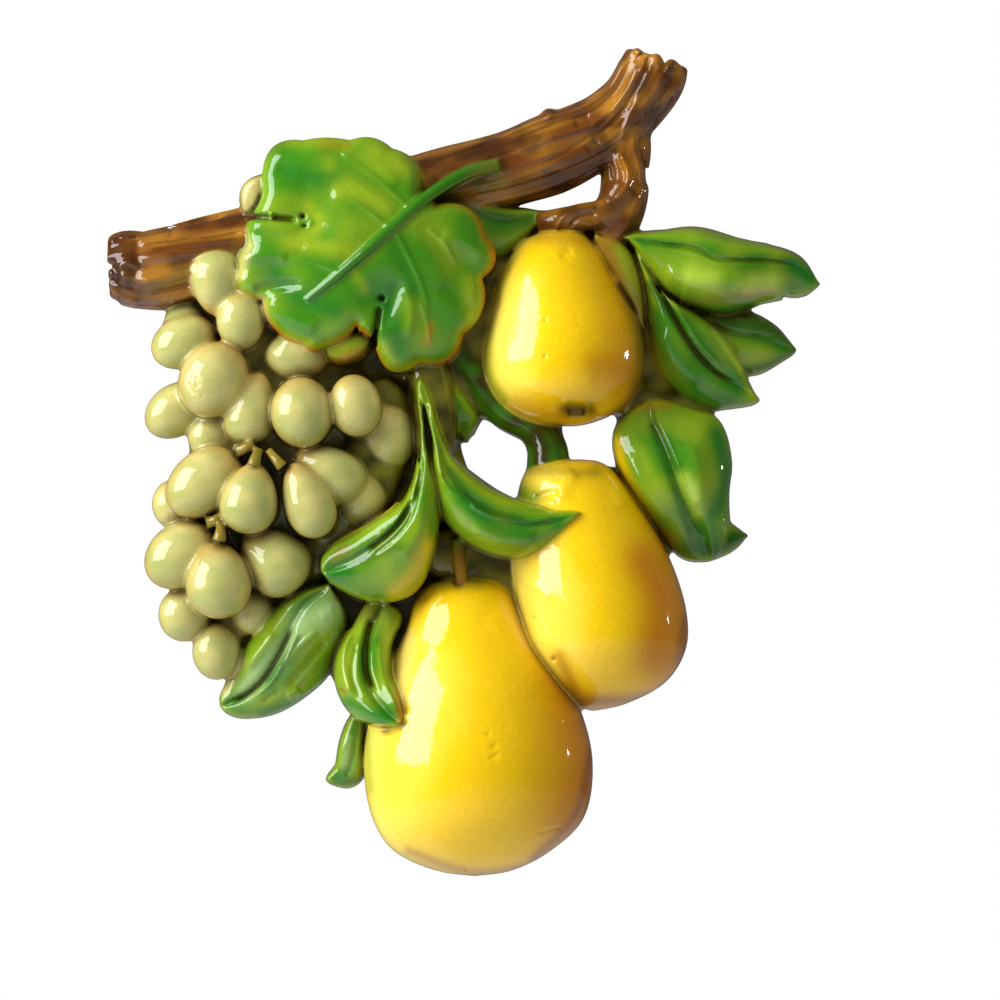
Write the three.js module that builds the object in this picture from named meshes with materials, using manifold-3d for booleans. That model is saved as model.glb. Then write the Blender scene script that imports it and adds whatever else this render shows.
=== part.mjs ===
// A fruit wall plaque: a vine leaf, a bunch of grapes and three pears hanging from a branch,
// cast in one piece of plaster with a flat back, so everything here is joined into one solid.
//
// Millimetres. X runs to the right, Z up, and the front faces -Y. The flat back lies on y = 0,
// and the origin is the point of the back, behind the branch, where the plaque hangs.
// "Depth" is always the distance forward from the flat back.

import * as THREE from 'three';
import { mergeVertices } from 'three/addons/utils/BufferGeometryUtils.js';
import Module from 'manifold-3d';

const wasm = await Module();
wasm.setup();

// ---------------------------------------------------------------- driving dimensions

const BURIED = 3;               // how far the upright sides run on behind the back before it is cut
const BEDDING = 1.8;            // a round form's hidden half reaches this many times its own depth
const GRAPE_FACETS = { front: 6, back: 3, rows: 6 };  // facets round a grape, and along it
const PEAR_FACETS = { front: 12, back: 4, rows: 13 };
const LIMB_FACETS = { front: 4, back: 3 };            // where a limb has no more grooves than this
const LEAF_ROWS = 9;
const GROOVED_COLUMNS = [-1, -0.8, -0.42, -0.1, 0.1, 0.42, 0.8, 1]; // across a leaf with a midrib
const PLAIN_COLUMNS = [-1, -0.55, 0.55, 1];           // and across one without
const MOUND_ROWS = 5;
const END_SQUARENESS = 8;       // how late along a leaf its two ends round off
const LEAST_HALF_WIDTH = 0.6;   // of a leaf at its stem and its tip
const MIDRIB_SHARE = 0.16;      // the share of a leaf's half width that the midrib groove takes

// A grape: the middle in X and Z, half its length, half its width, the direction of its stem
// end in degrees, the depth of its front, and how much slimmer the stem end is.
const grapes = [
  { at: [-84.5, -40.5], long: 12.0, wide: 9.5, lean: 270, top: 32, taper: 0.25 },
  { at: [-75.5, -54.0], long: 11.0, wide: 9.0, lean: 90, top: 34, taper: 0 },
  { at: [-96.5, -62.0], long: 12.5, wide: 9.5, lean: 25, top: 28, taper: 0 },
  { at: [-96.5, -55.0], long: 7.5, wide: 7.5, lean: 0, top: 20, taper: 0 },
  { at: [-85.5, -76.0], long: 14.5, wide: 12.5, lean: 60, top: 38, taper: 0 },
  { at: [-99.5, -87.0], long: 12.5, wide: 9.5, lean: 35, top: 22, taper: 0 },
  { at: [-71.5, -86.5], long: 13.5, wide: 9.0, lean: 75, top: 34, taper: 0.3 },
  { at: [-55.0, -67.0], long: 11.5, wide: 9.0, lean: 0, top: 32, taper: 0 },
  { at: [-53.0, -88.0], long: 13.0, wide: 11.5, lean: 95, top: 44, taper: 0 },
  { at: [-33.5, -85.5], long: 11.5, wide: 9.5, lean: 100, top: 42, taper: 0 },
  { at: [-21.5, -96.5], long: 12.0, wide: 9.5, lean: 100, top: 28, taper: 0 },
  { at: [-42.5, -110.0], long: 14.0, wide: 9.5, lean: 150, top: 36, taper: 0.2 },
  { at: [-72.0, -119.5], long: 13.0, wide: 10.5, lean: 80, top: 45, taper: 0.2 },
  { at: [-51.0, -120.0], long: 14.5, wide: 9.0, lean: 112, top: 43, taper: 0.25 },
  { at: [-31.0, -120.0], long: 9.5, wide: 8.0, lean: 90, top: 30, taper: 0 },
  { at: [-89.0, -113.5], long: 15.5, wide: 11.5, lean: 40, top: 37, taper: 0 },
  { at: [-86.8, -96.5], long: 8.5, wide: 8.5, lean: 0, top: 24, taper: 0 },
  { at: [-100.5, -121.5], long: 9.0, wide: 8.0, lean: 90, top: 18, taper: 0 },
  { at: [-97.5, -140.0], long: 14.5, wide: 11.5, lean: 38, top: 33, taper: 0 },
  { at: [-83.5, -149.5], long: 14.0, wide: 12.0, lean: 92, top: 42, taper: 0.15 },
  { at: [-63.5, -142.0], long: 14.0, wide: 11.5, lean: 140, top: 36, taper: 0.3 },
  { at: [-96.5, -162.0], long: 10.0, wide: 9.5, lean: 90, top: 24, taper: 0 },
  { at: [-84.5, -175.5], long: 10.5, wide: 9.0, lean: 90, top: 24, taper: 0 },
  { at: [-71.0, -161.5], long: 8.0, wide: 7.5, lean: 90, top: 24, taper: 0 },
];

// A pear: level rings from the stem end down, each as height Z, middle X and half its width,
// then the depth of its widest plane, and its swell: depth forward of that plane for each
// millimetre of half width.
const pears = {
  upper: {
    rings: [
      [-21.0, 43.0, 0], [-22.0, 42.0, 8.0], [-25.0, 40.5, 12.5], [-30.0, 40.0, 16.5],
      [-37.5, 40.0, 20.5], [-55.0, 43.0, 27.5], [-67.0, 43.0, 29.5], [-78.0, 43.0, 27.5],
      [-86.5, 43.0, 21.0], [-91.5, 43.0, 11.0], [-93.0, 42.5, 0],
    ],
    middle: 16,
    swell: 1.08,
  },
  right: {
    rings: [
      [-105.0, 49.0, 0], [-106.0, 46.5, 9.5], [-109.0, 45.0, 15.5], [-122.0, 48.0, 23.0],
      [-142.0, 52.5, 29.5], [-162.0, 56.5, 31.5], [-175.0, 57.5, 30.0], [-187.0, 57.5, 22.5],
      [-195.0, 55.0, 10.0], [-197.5, 53.5, 0],
    ],
    middle: 15,
    swell: 1.08,
  },
  lower: {
    rings: [
      [-148.5, 7.5, 0], [-149.5, 7.5, 10.0], [-153.0, 7.0, 16.5], [-169.5, 8.5, 25.0],
      [-193.0, 10.4, 37.0], [-216.0, 11.4, 42.0], [-237.0, 11.3, 38.6], [-249.0, 9.2, 28.3],
      [-256.0, 9.8, 13.5], [-258.0, 10.0, 0],
    ],
    middle: 16,
    swell: 1.0,
  },
};

// A leaf: its midrib in X and Z from stem to tip; half its width to the left and to the right of
// the midrib at the stem, a quarter, half and three quarters of the way and the tip; the depths
// of rim and crown at the stem, half way and at the tip; how deep the midrib is pressed in; and
// how far the left half stands above the right along the midrib.
const leaves = {
  upperRight: {
    midrib: [[65, -24], [78, -26.5], [90, -27.5], [103, -32], [117, -33], [128, -34], [137, -41]],
    left: [4, 7, 9.5, 6.5, 1],
    right: [1, 19.5, 20.5, 14, 13],
    rim: [16, 17, 12],
    crown: [24, 31, 18],
    groove: 1.5,
    step: -1.5,
  },
  middleRight: {
    midrib: [[69, -28.5], [78, -43], [84, -54], [90, -64.5], [97.5, -72.5], [107, -78.5], [115, -83.5]],
    left: [1.5, 1, 11, 10.5, 1],
    right: [1.5, 6, 13.5, 15, 5.5],
    rim: [17, 14, 10],
    crown: [23, 27, 15],
    groove: 2.5,
    step: -2,
  },
  behindRight: {
    midrib: [[89, -52], [103.5, -58], [116.5, -61], [128.5, -65]],
    left: [1.5, 6, 9, 6.5, 1.5],
    right: [1, 9.5, 14.5, 13, 4],
    rim: [8, 8, 6],
    crown: [14, 16, 10],
    groove: 1.2,
    step: 0,
  },
  hanging: {
    midrib: [[73.5, -83.5], [77.5, -94.5], [82.5, -105.5], [88, -118], [93.5, -130.5], [96.5, -142.5]],
    left: [9, 21.5, 20.5, 12.5, 7.5],
    right: [15.5, 19, 18.5, 15, 13],
    rim: [17, 17, 12],
    crown: [22, 31, 18],
    groove: 1.5,
    step: 3,
  },
  hangingTip: {
    midrib: [[91, -134], [101.5, -134.5], [110.5, -133]],
    left: [6, 7, 9, 5.5, 1],
    right: [9, 8, 6.5, 4, 1],
    rim: [12, 11, 11],
    crown: [18, 15, 15],
    groove: 0,
    step: 0,
  },
  centreRight: {
    midrib: [[-10, -75.5], [-4.5, -94.5], [0.5, -109], [10, -121], [25, -128], [37.5, -128.5], [49, -125]],
    left: [3, 2.5, 7.5, 8, 3.5],
    right: [3.5, 2.5, 12, 13, 1.5],
    rim: [27, 34, 39],
    crown: [32, 46, 44],
    groove: 1.5,
    step: -2,
  },
  centreLeft: {
    midrib: [[-11, -77.5], [-8.5, -94.5], [-9, -107], [-13, -122], [-22.5, -133], [-33, -141], [-46, -146.5]],
    left: [2, 1, 11, 23, 9.5],
    right: [1.5, 2, 3.5, 7.5, 9],
    rim: [27, 36, 30],
    crown: [32, 46, 36],
    groove: 2.5,
    step: 1.5,
  },
  lowerLeft: {
    midrib: [[-43, -150.5], [-52.5, -158.5], [-57.5, -167], [-62, -177], [-68.5, -186.5], [-76.5, -193], [-83.5, -196]],
    left: [19.5, 21, 20, 13.5, 6],
    right: [1.5, 8, 12, 12.5, 7],
    rim: [18, 14, 8],
    crown: [28, 27, 13],
    groove: 3,
    step: 1,
  },
  besidePear: {
    midrib: [[-23.5, -156.5], [-28, -169.5], [-29.5, -179.5], [-28, -189], [-23, -196], [-16.5, -202]],
    left: [11.5, 9, 9.5, 9.5, 6.5],
    right: [6.5, 7.5, 12, 10.5, 3.5],
    rim: [22, 27, 40],
    crown: [26, 38, 48],
    groove: 3,
    step: 0,
  },
  belowLeft: {
    midrib: [[-32.5, -195], [-35, -209.5], [-37.5, -219], [-44.5, -223.5]],
    left: [3.5, 4, 5.5, 7.5, 3],
    right: [1, 4, 5, 4.5, 2.5],
    rim: [9, 9, 6],
    crown: [14, 15, 9],
    groove: 0,
    step: 0,
  },
  belowBranch: {
    midrib: [[1, -9.5], [19.5, -17.5], [30.5, -16], [37.5, -14.5]],
    left: [1, 4, 6, 4, 1],
    right: [3.5, 10, 14, 7.5, 1],
    rim: [16, 14, 14],
    crown: [22, 19, 17],
    groove: 1,
    step: 0,
  },
  besideGap: {
    midrib: [[-2.5, -74.5], [3, -85.5], [7.5, -99]],
    left: [2, 4, 6, 7, 0.5],
    right: [2, 4.5, 5.5, 4, 1.5],
    rim: [14, 14, 12],
    crown: [18, 20, 15],
    groove: 0,
    step: 0,
  },
  foldedStrip: {
    midrib: [[54.5, -22], [64, -35], [72.5, -58]],
    left: [1, 6, 5.5, 3.5, 1],
    right: [4, 5, 5, 2, 1],
    rim: [17, 17, 14],
    crown: [22, 24, 18],
    groove: 0,
    step: 0,
  },
};

// The plaster that fruit and leaves stand out from, as low mounds shaped like plain leaves.
const mounds = {
  underGrapes: {
    midrib: [[-72, -40], [-70, -80], [-72, -120], [-76, -172]],
    left: [20, 40, 36, 24, 8],
    right: [10, 18, 20, 20, 12],
    rim: [12, 12, 10],
    crown: [20, 22, 16],
  },
  besideGrapes: {
    midrib: [[-22, -75], [-27, -105], [-36, -125], [-56, -152]],
    left: [10, 12, 12, 10, 8],
    right: [10, 12, 12, 10, 8],
    rim: [16, 18, 14],
    crown: [22, 25, 18],
  },
  underCentreLeaves: {
    midrib: [[-8, -66], [-5, -88], [-4, -112]],
    left: [8, 9, 9, 8, 5],
    right: [8, 8, 8, 8, 5],
    rim: [18, 20, 20],
    crown: [26, 27, 27],
  },
  overLowerPear: {
    midrib: [[-10, -137], [5, -140], [20, -147], [30, -167]],
    left: [8, 10, 10, 8, 6],
    right: [10, 12, 12, 10, 8],
    rim: [18, 18, 18],
    crown: [24, 24, 22],
  },
  underUpperPear: {
    midrib: [[52, -74], [64, -82], [76, -86], [98, -88]],
    left: [6, 8, 8, 7, 4],
    right: [5, 7, 7, 6, 4],
    rim: [14, 14, 12],
    crown: [18, 19, 15],
  },
  besideUpperPear: {
    midrib: [[12, -40], [9, -58], [8, -74], [16, -90]],
    left: [10, 13, 12, 10, 6],
    right: [10, 12, 12, 8, 4],
    rim: [12, 12, 12],
    crown: [16, 17, 16],
  },
  vineLeafUnderLobe: {
    midrib: [[-46, -63], [-38, -65], [-28, -61]],
    left: [3, 5, 6, 6, 4],
    right: [2, 5, 6, 5, 3],
    rim: [27, 28, 28],
    crown: [30, 33, 32],
  },
  vineLeafBackLobe: {
    midrib: [[-67, -1], [-71, -8], [-74, -15]],
    left: [3, 4, 4, 4, 3],
    right: [2, 4, 5, 4, 2],
    rim: [26, 26, 26],
    crown: [30, 30, 29],
  },
};

// The backing that joins everything: its outline and the two gaps right through it, in X and Z.
const backing = {
  outline: [
    [-91.5, -43], [-96.5, -63.5], [-93, -76], [-94, -98], [-98.5, -129], [-101.5, -153],
    [-92, -171.5], [-86, -180.5], [-72, -195], [-54, -189.5], [-43.5, -183], [-35, -198.5],
    [-24.5, -215], [-17, -237], [8.5, -250], [34, -237], [45, -215], [47, -198.5], [67, -189.5],
    [80, -171.5], [78, -146], [84, -137], [98, -137], [100, -112.5], [96, -90], [97, -86],
    [108, -80], [104, -70], [121, -65], [114.5, -54], [108, -46], [125.5, -41.5],
    [114.5, -29], [74.5, -23], [66, -18], [41.5, -20], [19.5, -13], [-2.5, -1], [-39, -17.5],
    [-68.5, -26.5],
  ],
  gaps: [
    [[13, -88.5], [30.5, -98.5], [32, -105.5], [25.5, -120.5], [18, -116], [7.5, -108.5], [4.5, -99.5], [10, -96]],
    [[42, -90], [63, -87], [62, -108], [43, -105]],
  ],
  depth: 12,
};

// A limb: points along its middle as X, Z, depth and radius, the number of sections, and the
// number and depth of the grooves in the front of its bark.
const limbs = {
  branch: {
    path: [
      [-124.3, -34.3, 11, 10.9], [-119.0, -34.2, 12, 13.3], [-112.0, -35.5, 12, 14.4],
      [-103.0, -35.0, 12, 15.2], [-90.5, -31.5, 12, 15.0], [-43.0, -18.5, 12, 14.0],
      [-6.0, -5.5, 12, 13.5], [24.0, 2.0, 12, 14.0], [37.5, 6.8, 12, 15.0],
      [48.5, 11.5, 12, 14.0], [59.0, 17.5, 12, 13.0], [68.5, 26.0, 13, 12.5],
      [74.8, 35.5, 14, 12.9], [77.2, 42.3, 14, 11.8],
    ],
    rows: 16,
    grooves: 5,
    bark: 1.2,
  },
  fork: {
    path: [
      [64, 22, 12, 9], [65.3, 12, 13, 9], [65.3, 2, 14, 8.8], [64.7, -9, 14, 9],
      [61.5, -18, 14, 9], [57, -24, 13, 8],
    ],
    rows: 8,
    grooves: 3,
    bark: 0.9,
  },
  hook: {
    path: [[66, -5, 18, 6], [58, -14.5, 19, 5.5], [49, -16.5, 20, 5], [41, -17.5, 19, 4.5], [33, -18.5, 15, 4]],
    rows: 8,
    grooves: 0,
    bark: 0,
  },
  pearStem: {
    path: [
      [2, -58, 12, 5], [9, -72, 13, 6], [20.5, -87.5, 14, 6], [32, -94, 15, 6.5],
      [36.5, -101, 16, 7.5], [37, -112, 16, 8],
    ],
    rows: 8,
    grooves: 2,
    bark: 0.6,
  },
  lowerStem: {
    path: [[4, -134, 26, 2.6], [4.5, -142, 27, 2.1], [5.5, -151, 27, 2.3]],
    rows: 4,
    grooves: 0,
    bark: 0,
  },
  vineStem: {
    path: [
      [19, 2.5, 26, 2.2], [8.5, 0, 31, 2.2], [-6, -8.5, 38.5, 2.2], [-18, -19, 41.5, 2.0],
      [-32, -31.5, 42.5, 1.7], [-42, -40, 41, 1.3], [-51, -47, 38.5, 0.7],
    ],
    rows: 10,
    grooves: 0,
    bark: 0,
  },
};

// The vine leaf: the corners of its outline, anticlockwise from the stem, each as X, Z and how
// far the edge from there to the next corner swells outward. Its face is a dome that has
// dropped by "drop" at "reach" from its centre, with hollows where it is slit.
const vineLeaf = {
  corners: [
    [-9.5, -7.5, 4.5], [-20, 8.5, 2.5], [-35.5, 11.5, 1], [-52.5, 11.5, 5], [-67.5, 0, 0],
    [-67.5, -7.5, -1], [-73, -17, 0], [-73, -27, 1.5], [-76, -35, 3.5], [-71.5, -46, 0],
    [-67.5, -47, 0.8], [-64.5, -56, 1.2], [-52.5, -63.5, 2], [-44.5, -64, 1.5], [-33, -56.5, 0.5],
    [-28, -60.5, 0], [-26, -65, 6], [-10, -70, 5], [6, -59.5, 4], [13, -39, 4.5],
    [14, -24, 5.5], [-4, -12, 0],
  ],
  centre: [-29, -27],
  reach: 44,
  crown: 42,
  drop: 8,
  hollows: [
    { at: [-50, -18], deep: 3, radius: 9 },
    { at: [-63, -42], deep: 2.5, radius: 8 },
    { at: [-23.5, -46], deep: 3, radius: 9 },
    { at: [8, -36], deep: 2, radius: 8 },
  ],
  rings: [0.35, 0.68, 0.92, 1],
  roll: 2.5,
};
const EDGE_ROLL = 10;           // the power that keeps the roll of the rim close to the rim
const POINTS_PER_SCALLOP = 3;

// The side veins of the vine leaf, each from the midrib outward in X and Z.
const veins = [
  [[-14, -13], [-24.5, -3.5], [-37.5, 6]],
  [[-21.5, -20], [-35, -10.5], [-50, -5.5]],
  [[-41, -36], [-50, -33], [-59.5, -32.5]],
  [[-18, -23], [-9, -42], [-7, -52.5]],
  [[-6, -21.5], [-1, -26], [3, -33]],
];
const VEIN_RADIUS = 1;
const VEIN_TAPER = 0.6;
const VEIN_ROWS = 5;

// The two slits in the vine leaf, a few millimetres deep, down to one floor.
const slits = [
  { from: [-78, -17.5], to: [-49, -18], width: 3.3 },
  { from: [-27, -70], to: [-24, -47], width: 2.6 },
];
const SLIT_FLOOR = 33;         // its depth from the flat back, under a face at 36 to 38
const BEYOND = 60;              // longer than the plaque is deep
const SURROUND = { x: 600, y: 100, z: 700 }; // a block larger than everything behind the back

// A shallow seat for a nail head, pressed into the back below the hanging point.
const nailSeat = { below: 10, radius: 5, depth: 3.4, steps: 20 };

// ---------------------------------------------------------------- solids

function signedVolume(geometry) {
  const index = geometry.index.array;
  const corners = [new THREE.Vector3(), new THREE.Vector3(), new THREE.Vector3()];
  let volume = 0;
  for (let i = 0; i < index.length; i += 3) {
    corners.forEach((point, k) => point.fromBufferAttribute(geometry.attributes.position, index[i + k]));
    volume += corners[0].dot(corners[1].clone().cross(corners[2])) / 6;
  }
  return volume;
}

// A closed three.js geometry as a solid. One that came out inside out is turned round.
function solid(geometry) {
  geometry.deleteAttribute('normal');
  geometry.deleteAttribute('uv');
  const merged = mergeVertices(geometry);
  const triangles = new Uint32Array(merged.index.array);
  if (signedVolume(merged) < 0) {
    triangles.reverse();
  }
  const places = new Float32Array(merged.attributes.position.array);
  return new wasm.Manifold(new wasm.Mesh({ numProp: 3, vertProperties: places, triVerts: triangles }));
}

// A sphere's net of points, each moved to the X, Z and depth that "place" gives for its row,
// from one pole to the other, and its step round the row.
function closedForm(steps, rows, place) {
  const geometry = new THREE.SphereGeometry(1, steps, rows);
  const points = geometry.attributes.position;
  for (let i = 0; i < points.count; i += 1) {
    const row = Math.floor(i / (steps + 1));
    const step = (i % (steps + 1)) % steps;
    const [x, z, depth] = place(row, step);
    points.setXYZ(i, x, -depth, z);
  }
  return solid(geometry);
}

// A form with flat ends: as many sections as rows, each a ring of points as X, Z and depth.
function lofted(rows, sectionAt) {
  const sections = Array.from({ length: rows }, (_, row) => sectionAt(row / (rows - 1)));
  const steps = sections[0].length;
  const middleOf = (section) => [0, 1, 2].map((k) => section.reduce((sum, point) => sum + point[k], 0) / steps);
  const start = middleOf(sections[0]);
  const end = middleOf(sections[rows - 1]);
  return closedForm(steps, rows + 1, (row, step) => {
    if (row === 0) {
      return start;
    }
    return row > rows ? end : sections[row - 1][step];
  });
}

function curveThrough(points) {
  return new THREE.CatmullRomCurve3(points.map(([x, z, depth]) => new THREE.Vector3(x, depth ?? 0, z)));
}

// The unit direction in X and Z a quarter turn to the left of a tangent.
function leftOf(tangent) {
  const length = Math.hypot(tangent.x, tangent.z);
  return [-tangent.z / length, tangent.x / length];
}

// The turns of the points round a ring: the front half from the left side over the front to the
// right side, then the back half, each in its own number of facets.
function turnsRound({ front, back }) {
  const ahead = Array.from({ length: front }, (_, i) => (Math.PI * i) / front);
  const behind = Array.from({ length: back }, (_, i) => Math.PI + (Math.PI * i) / back);
  return [...ahead, ...behind];
}

// A smooth run through evenly spaced values, as a function of t from 0 to 1.
function graded(values) {
  const curve = new THREE.SplineCurve(values.map((value, i) => new THREE.Vector2(i, value)));
  return (t) => curve.getPoint(t).y;
}

// ---------------------------------------------------------------- the forms

function grape({ at, long, wide, lean, top, taper }) {
  const stem = [Math.cos(THREE.MathUtils.degToRad(lean)), Math.sin(THREE.MathUtils.degToRad(lean))];
  const middle = top - wide;
  const backHalf = (middle * BEDDING) / wide;
  const turns = turnsRound(GRAPE_FACETS);
  return closedForm(turns.length, GRAPE_FACETS.rows, (row, step) => {
    const t = (Math.PI * row) / GRAPE_FACETS.rows;
    const atPole = row === 0 || row === GRAPE_FACETS.rows;
    const along = long * Math.cos(t);
    const radius = atPole ? 0 : wide * Math.sin(t) * (1 - taper * Math.cos(t));
    const across = radius * Math.cos(turns[step]);
    const lift = radius * Math.sin(turns[step]);
    return [
      at[0] + stem[0] * along - stem[1] * across,
      at[1] + stem[1] * along + stem[0] * across,
      middle + lift * (lift > 0 ? 1 : backHalf),
    ];
  });
}

function pear({ rings, middle, swell }) {
  const profile = new THREE.CatmullRomCurve3(rings.map(([z, x, half]) => new THREE.Vector3(x, half, z)));
  const widest = Math.max(...rings.map(([, , half]) => half));
  const backHalf = (middle * BEDDING) / widest;
  const turns = turnsRound(PEAR_FACETS);
  return closedForm(turns.length, PEAR_FACETS.rows, (row, step) => {
    const ring = profile.getPoint(row / PEAR_FACETS.rows);
    const half = row === 0 || row === PEAR_FACETS.rows ? 0 : ring.y;
    const lift = half * Math.sin(turns[step]);
    return [ring.x + half * Math.cos(turns[step]), ring.z, middle + lift * (lift > 0 ? swell : backHalf)];
  });
}

function leaf({ midrib, left, right, rim, crown, groove = 0, step = 0 }, rows = LEAF_ROWS) {
  const line = curveThrough(midrib);
  const columns = groove > 0 ? GROOVED_COLUMNS : PLAIN_COLUMNS;
  const [leftWidth, rightWidth, low, high] = [left, right, rim, crown].map(graded);
  return lofted(rows, (share) => {
    const t = 0.5 - 0.5 * Math.cos(Math.PI * share);
    const place = line.getPointAt(t);
    const across = leftOf(line.getTangentAt(t));
    const rounding = Math.sqrt(Math.max(0, 1 - Math.abs(2 * t - 1) ** END_SQUARENESS));
    const at = (side, depth) => {
      const half = rounding * (side > 0 ? leftWidth(t) : rightWidth(t));
      const reach = side * Math.max(LEAST_HALF_WIDTH, half);
      return [place.x + across[0] * reach, place.z + across[1] * reach, depth];
    };
    const front = columns.map((side) => {
      const dome = (1 - Math.abs(side) ** 3) ** 0.7;
      const pressed = groove * Math.exp(-((side / MIDRIB_SHARE) ** 2));
      const stepped = 0.5 * step * Math.tanh(side / MIDRIB_SHARE) * (1 - Math.abs(side));
      return at(side, low(t) + (high(t) - low(t)) * dome + rounding * (stepped - pressed));
    });
    return [...front, at(1, -BURIED), at(-1, -BURIED)];
  });
}

function limb({ path, rows, grooves, bark }) {
  const line = curveThrough(path);
  const radii = curveThrough(path.map((point, i) => [i, 0, point[3]]));
  const turns = turnsRound({ front: Math.max(LIMB_FACETS.front, 2 * grooves), back: LIMB_FACETS.back });
  return lofted(rows, (t) => {
    const place = line.getPoint(t);
    const across = leftOf(line.getTangent(t));
    const radius = radii.getPoint(t).y;
    const backHalf = (place.y * BEDDING) / radius;
    return turns.map((turn, step) => {
      const inGroove = turn < Math.PI && step % 2 === 1;
      const skin = radius - (inGroove ? bark : 0);
      const side = skin * Math.cos(turn);
      const lift = skin * Math.sin(turn);
      return [
        place.x + across[0] * side,
        place.z + across[1] * side,
        place.y + lift * (lift > 0 ? 1 : backHalf),
      ];
    });
  });
}

function backingPlate() {
  const flat = (points) => points.map(([x, z]) => new THREE.Vector2(x, z));
  const shape = new THREE.Shape(flat(backing.outline));
  shape.holes = backing.gaps.map((gap) => new THREE.Path(flat(gap)));
  const plate = new THREE.ExtrudeGeometry(shape, { depth: backing.depth + BURIED, bevelEnabled: false });
  plate.rotateX(Math.PI / 2);
  plate.translate(0, BURIED, 0);
  return solid(plate);
}

// The depth of the vine leaf's face: a shallow dome with a few hollows in it.
function sheetDepth(x, z) {
  const { centre, reach, crown, drop, hollows } = vineLeaf;
  const dome = crown - drop * ((x - centre[0]) ** 2 + (z - centre[1]) ** 2) / reach ** 2;
  return hollows.reduce((depth, { at, deep, radius }) => {
    const away = ((x - at[0]) ** 2 + (z - at[1]) ** 2) / radius ** 2;
    return depth - deep * Math.exp(-away);
  }, dome);
}

function vineLeafOutline() {
  const { corners } = vineLeaf;
  const outline = new THREE.Path();
  outline.moveTo(corners[0][0], corners[0][1]);
  corners.forEach(([x, z, swell], i) => {
    const [nextX, nextZ] = corners[(i + 1) % corners.length];
    const length = Math.hypot(nextX - x, nextZ - z);
    const outward = [(nextZ - z) / length, (x - nextX) / length];
    if (swell === 0) {
      outline.lineTo(nextX, nextZ);
    } else {
      const pull = 2 * swell;
      outline.quadraticCurveTo(
        (x + nextX) / 2 + outward[0] * pull, (z + nextZ) / 2 + outward[1] * pull, nextX, nextZ,
      );
    }
  });
  return outline.getPoints(POINTS_PER_SCALLOP).slice(0, -1);
}

function vineLeafSheet() {
  const { centre, rings, roll } = vineLeaf;
  const outline = vineLeafOutline();
  const lastRow = rings.length + 2;
  return closedForm(outline.length, lastRow, (row, step) => {
    const share = row === 0 || row === lastRow ? 0 : rings[Math.min(row, rings.length) - 1];
    const x = THREE.MathUtils.lerp(centre[0], outline[step].x, share);
    const z = THREE.MathUtils.lerp(centre[1], outline[step].y, share);
    return [x, z, row > rings.length ? -BURIED : sheetDepth(x, z) - roll * share ** EDGE_ROLL];
  });
}

// A ridge lying on the vine leaf, through points given in X and Z.
function vein(points) {
  const last = points.length - 1;
  const path = points.map(([x, z], i) => [x, z, sheetDepth(x, z), VEIN_RADIUS * (1 - (VEIN_TAPER * i) / last)]);
  return limb({ path, rows: VEIN_ROWS, grooves: 0, bark: 0 });
}

// A box over a line in X and Z, from the floor of a slit to in front of everything.
function slit({ from, to, width }) {
  const [run, rise] = [to[0] - from[0], to[1] - from[1]];
  const box = new THREE.BoxGeometry(Math.hypot(run, rise), BEYOND, width);
  box.rotateY(-Math.atan2(rise, run));
  box.translate((from[0] + to[0]) / 2, -(SLIT_FLOOR + BEYOND / 2), (from[1] + to[1]) / 2);
  return solid(box);
}

function behindTheBack() {
  const { x, y, z } = SURROUND;
  const block = new THREE.BoxGeometry(x, y, z);
  block.translate(0, y / 2, 0);
  return solid(block);
}

function seatForNail() {
  const { below, radius, depth, steps } = nailSeat;
  const seat = new THREE.CylinderGeometry(radius, radius, 2 * depth, steps);
  seat.translate(0, 0, -below);
  return solid(seat);
}

// ---------------------------------------------------------------- the plaque

function joined(solids) {
  return solids.reduce((whole, next) => whole.add(next));
}

const slitLeaf = slits.map(slit).reduce((sheet, cut) => sheet.subtract(cut), vineLeafSheet());

const casting = joined([
  backingPlate(),
  slitLeaf,
  ...veins.map(vein),
  ...Object.values(limbs).map(limb),
  ...Object.values(leaves).map((form) => leaf(form)),
  ...Object.values(mounds).map((form) => leaf(form, MOUND_ROWS)),
  ...Object.values(pears).map(pear),
  ...grapes.map(grape),
]).subtract(behindTheBack()).subtract(seatForNail());

function geometryOf(manifold) {
  const { vertProperties, triVerts } = manifold.getMesh();
  const geometry = new THREE.BufferGeometry();
  geometry.setAttribute('position', new THREE.BufferAttribute(new Float32Array(vertProperties), 3));
  geometry.setIndex(new THREE.BufferAttribute(new Uint32Array(triVerts), 1));
  geometry.computeVertexNormals();
  return geometry;
}

const paintedPlaster = new THREE.MeshStandardMaterial({ color: 0x9aa53a, roughness: 0.25, metalness: 0 });

const plaque = new THREE.Mesh(geometryOf(casting), paintedPlaster);
plaque.name = 'plaque';

const part = new THREE.Group();
part.add(plaque);

export default part;
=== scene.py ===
# %% [markdown]
# # A fruit wall plaque in painted plaster
# The real plaque is one lump of plaster. It was poured into a mould, so leaves, grapes, pears
# and branch all grow out of one another, with a soft fillet of plaster in every hollow. It was
# then airbrushed and dipped in a thick gloss lacquer. This lesson makes it the same way: every
# form is poured into one block of space, one skin is drawn over the lot, and then it is painted.
#
# All sums below are in millimetres: x to the right, z up, and "depth" forward from the flat back.
# Only the last step turns them into Blender's metres, where the front of the plaque faces -Y.

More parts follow.
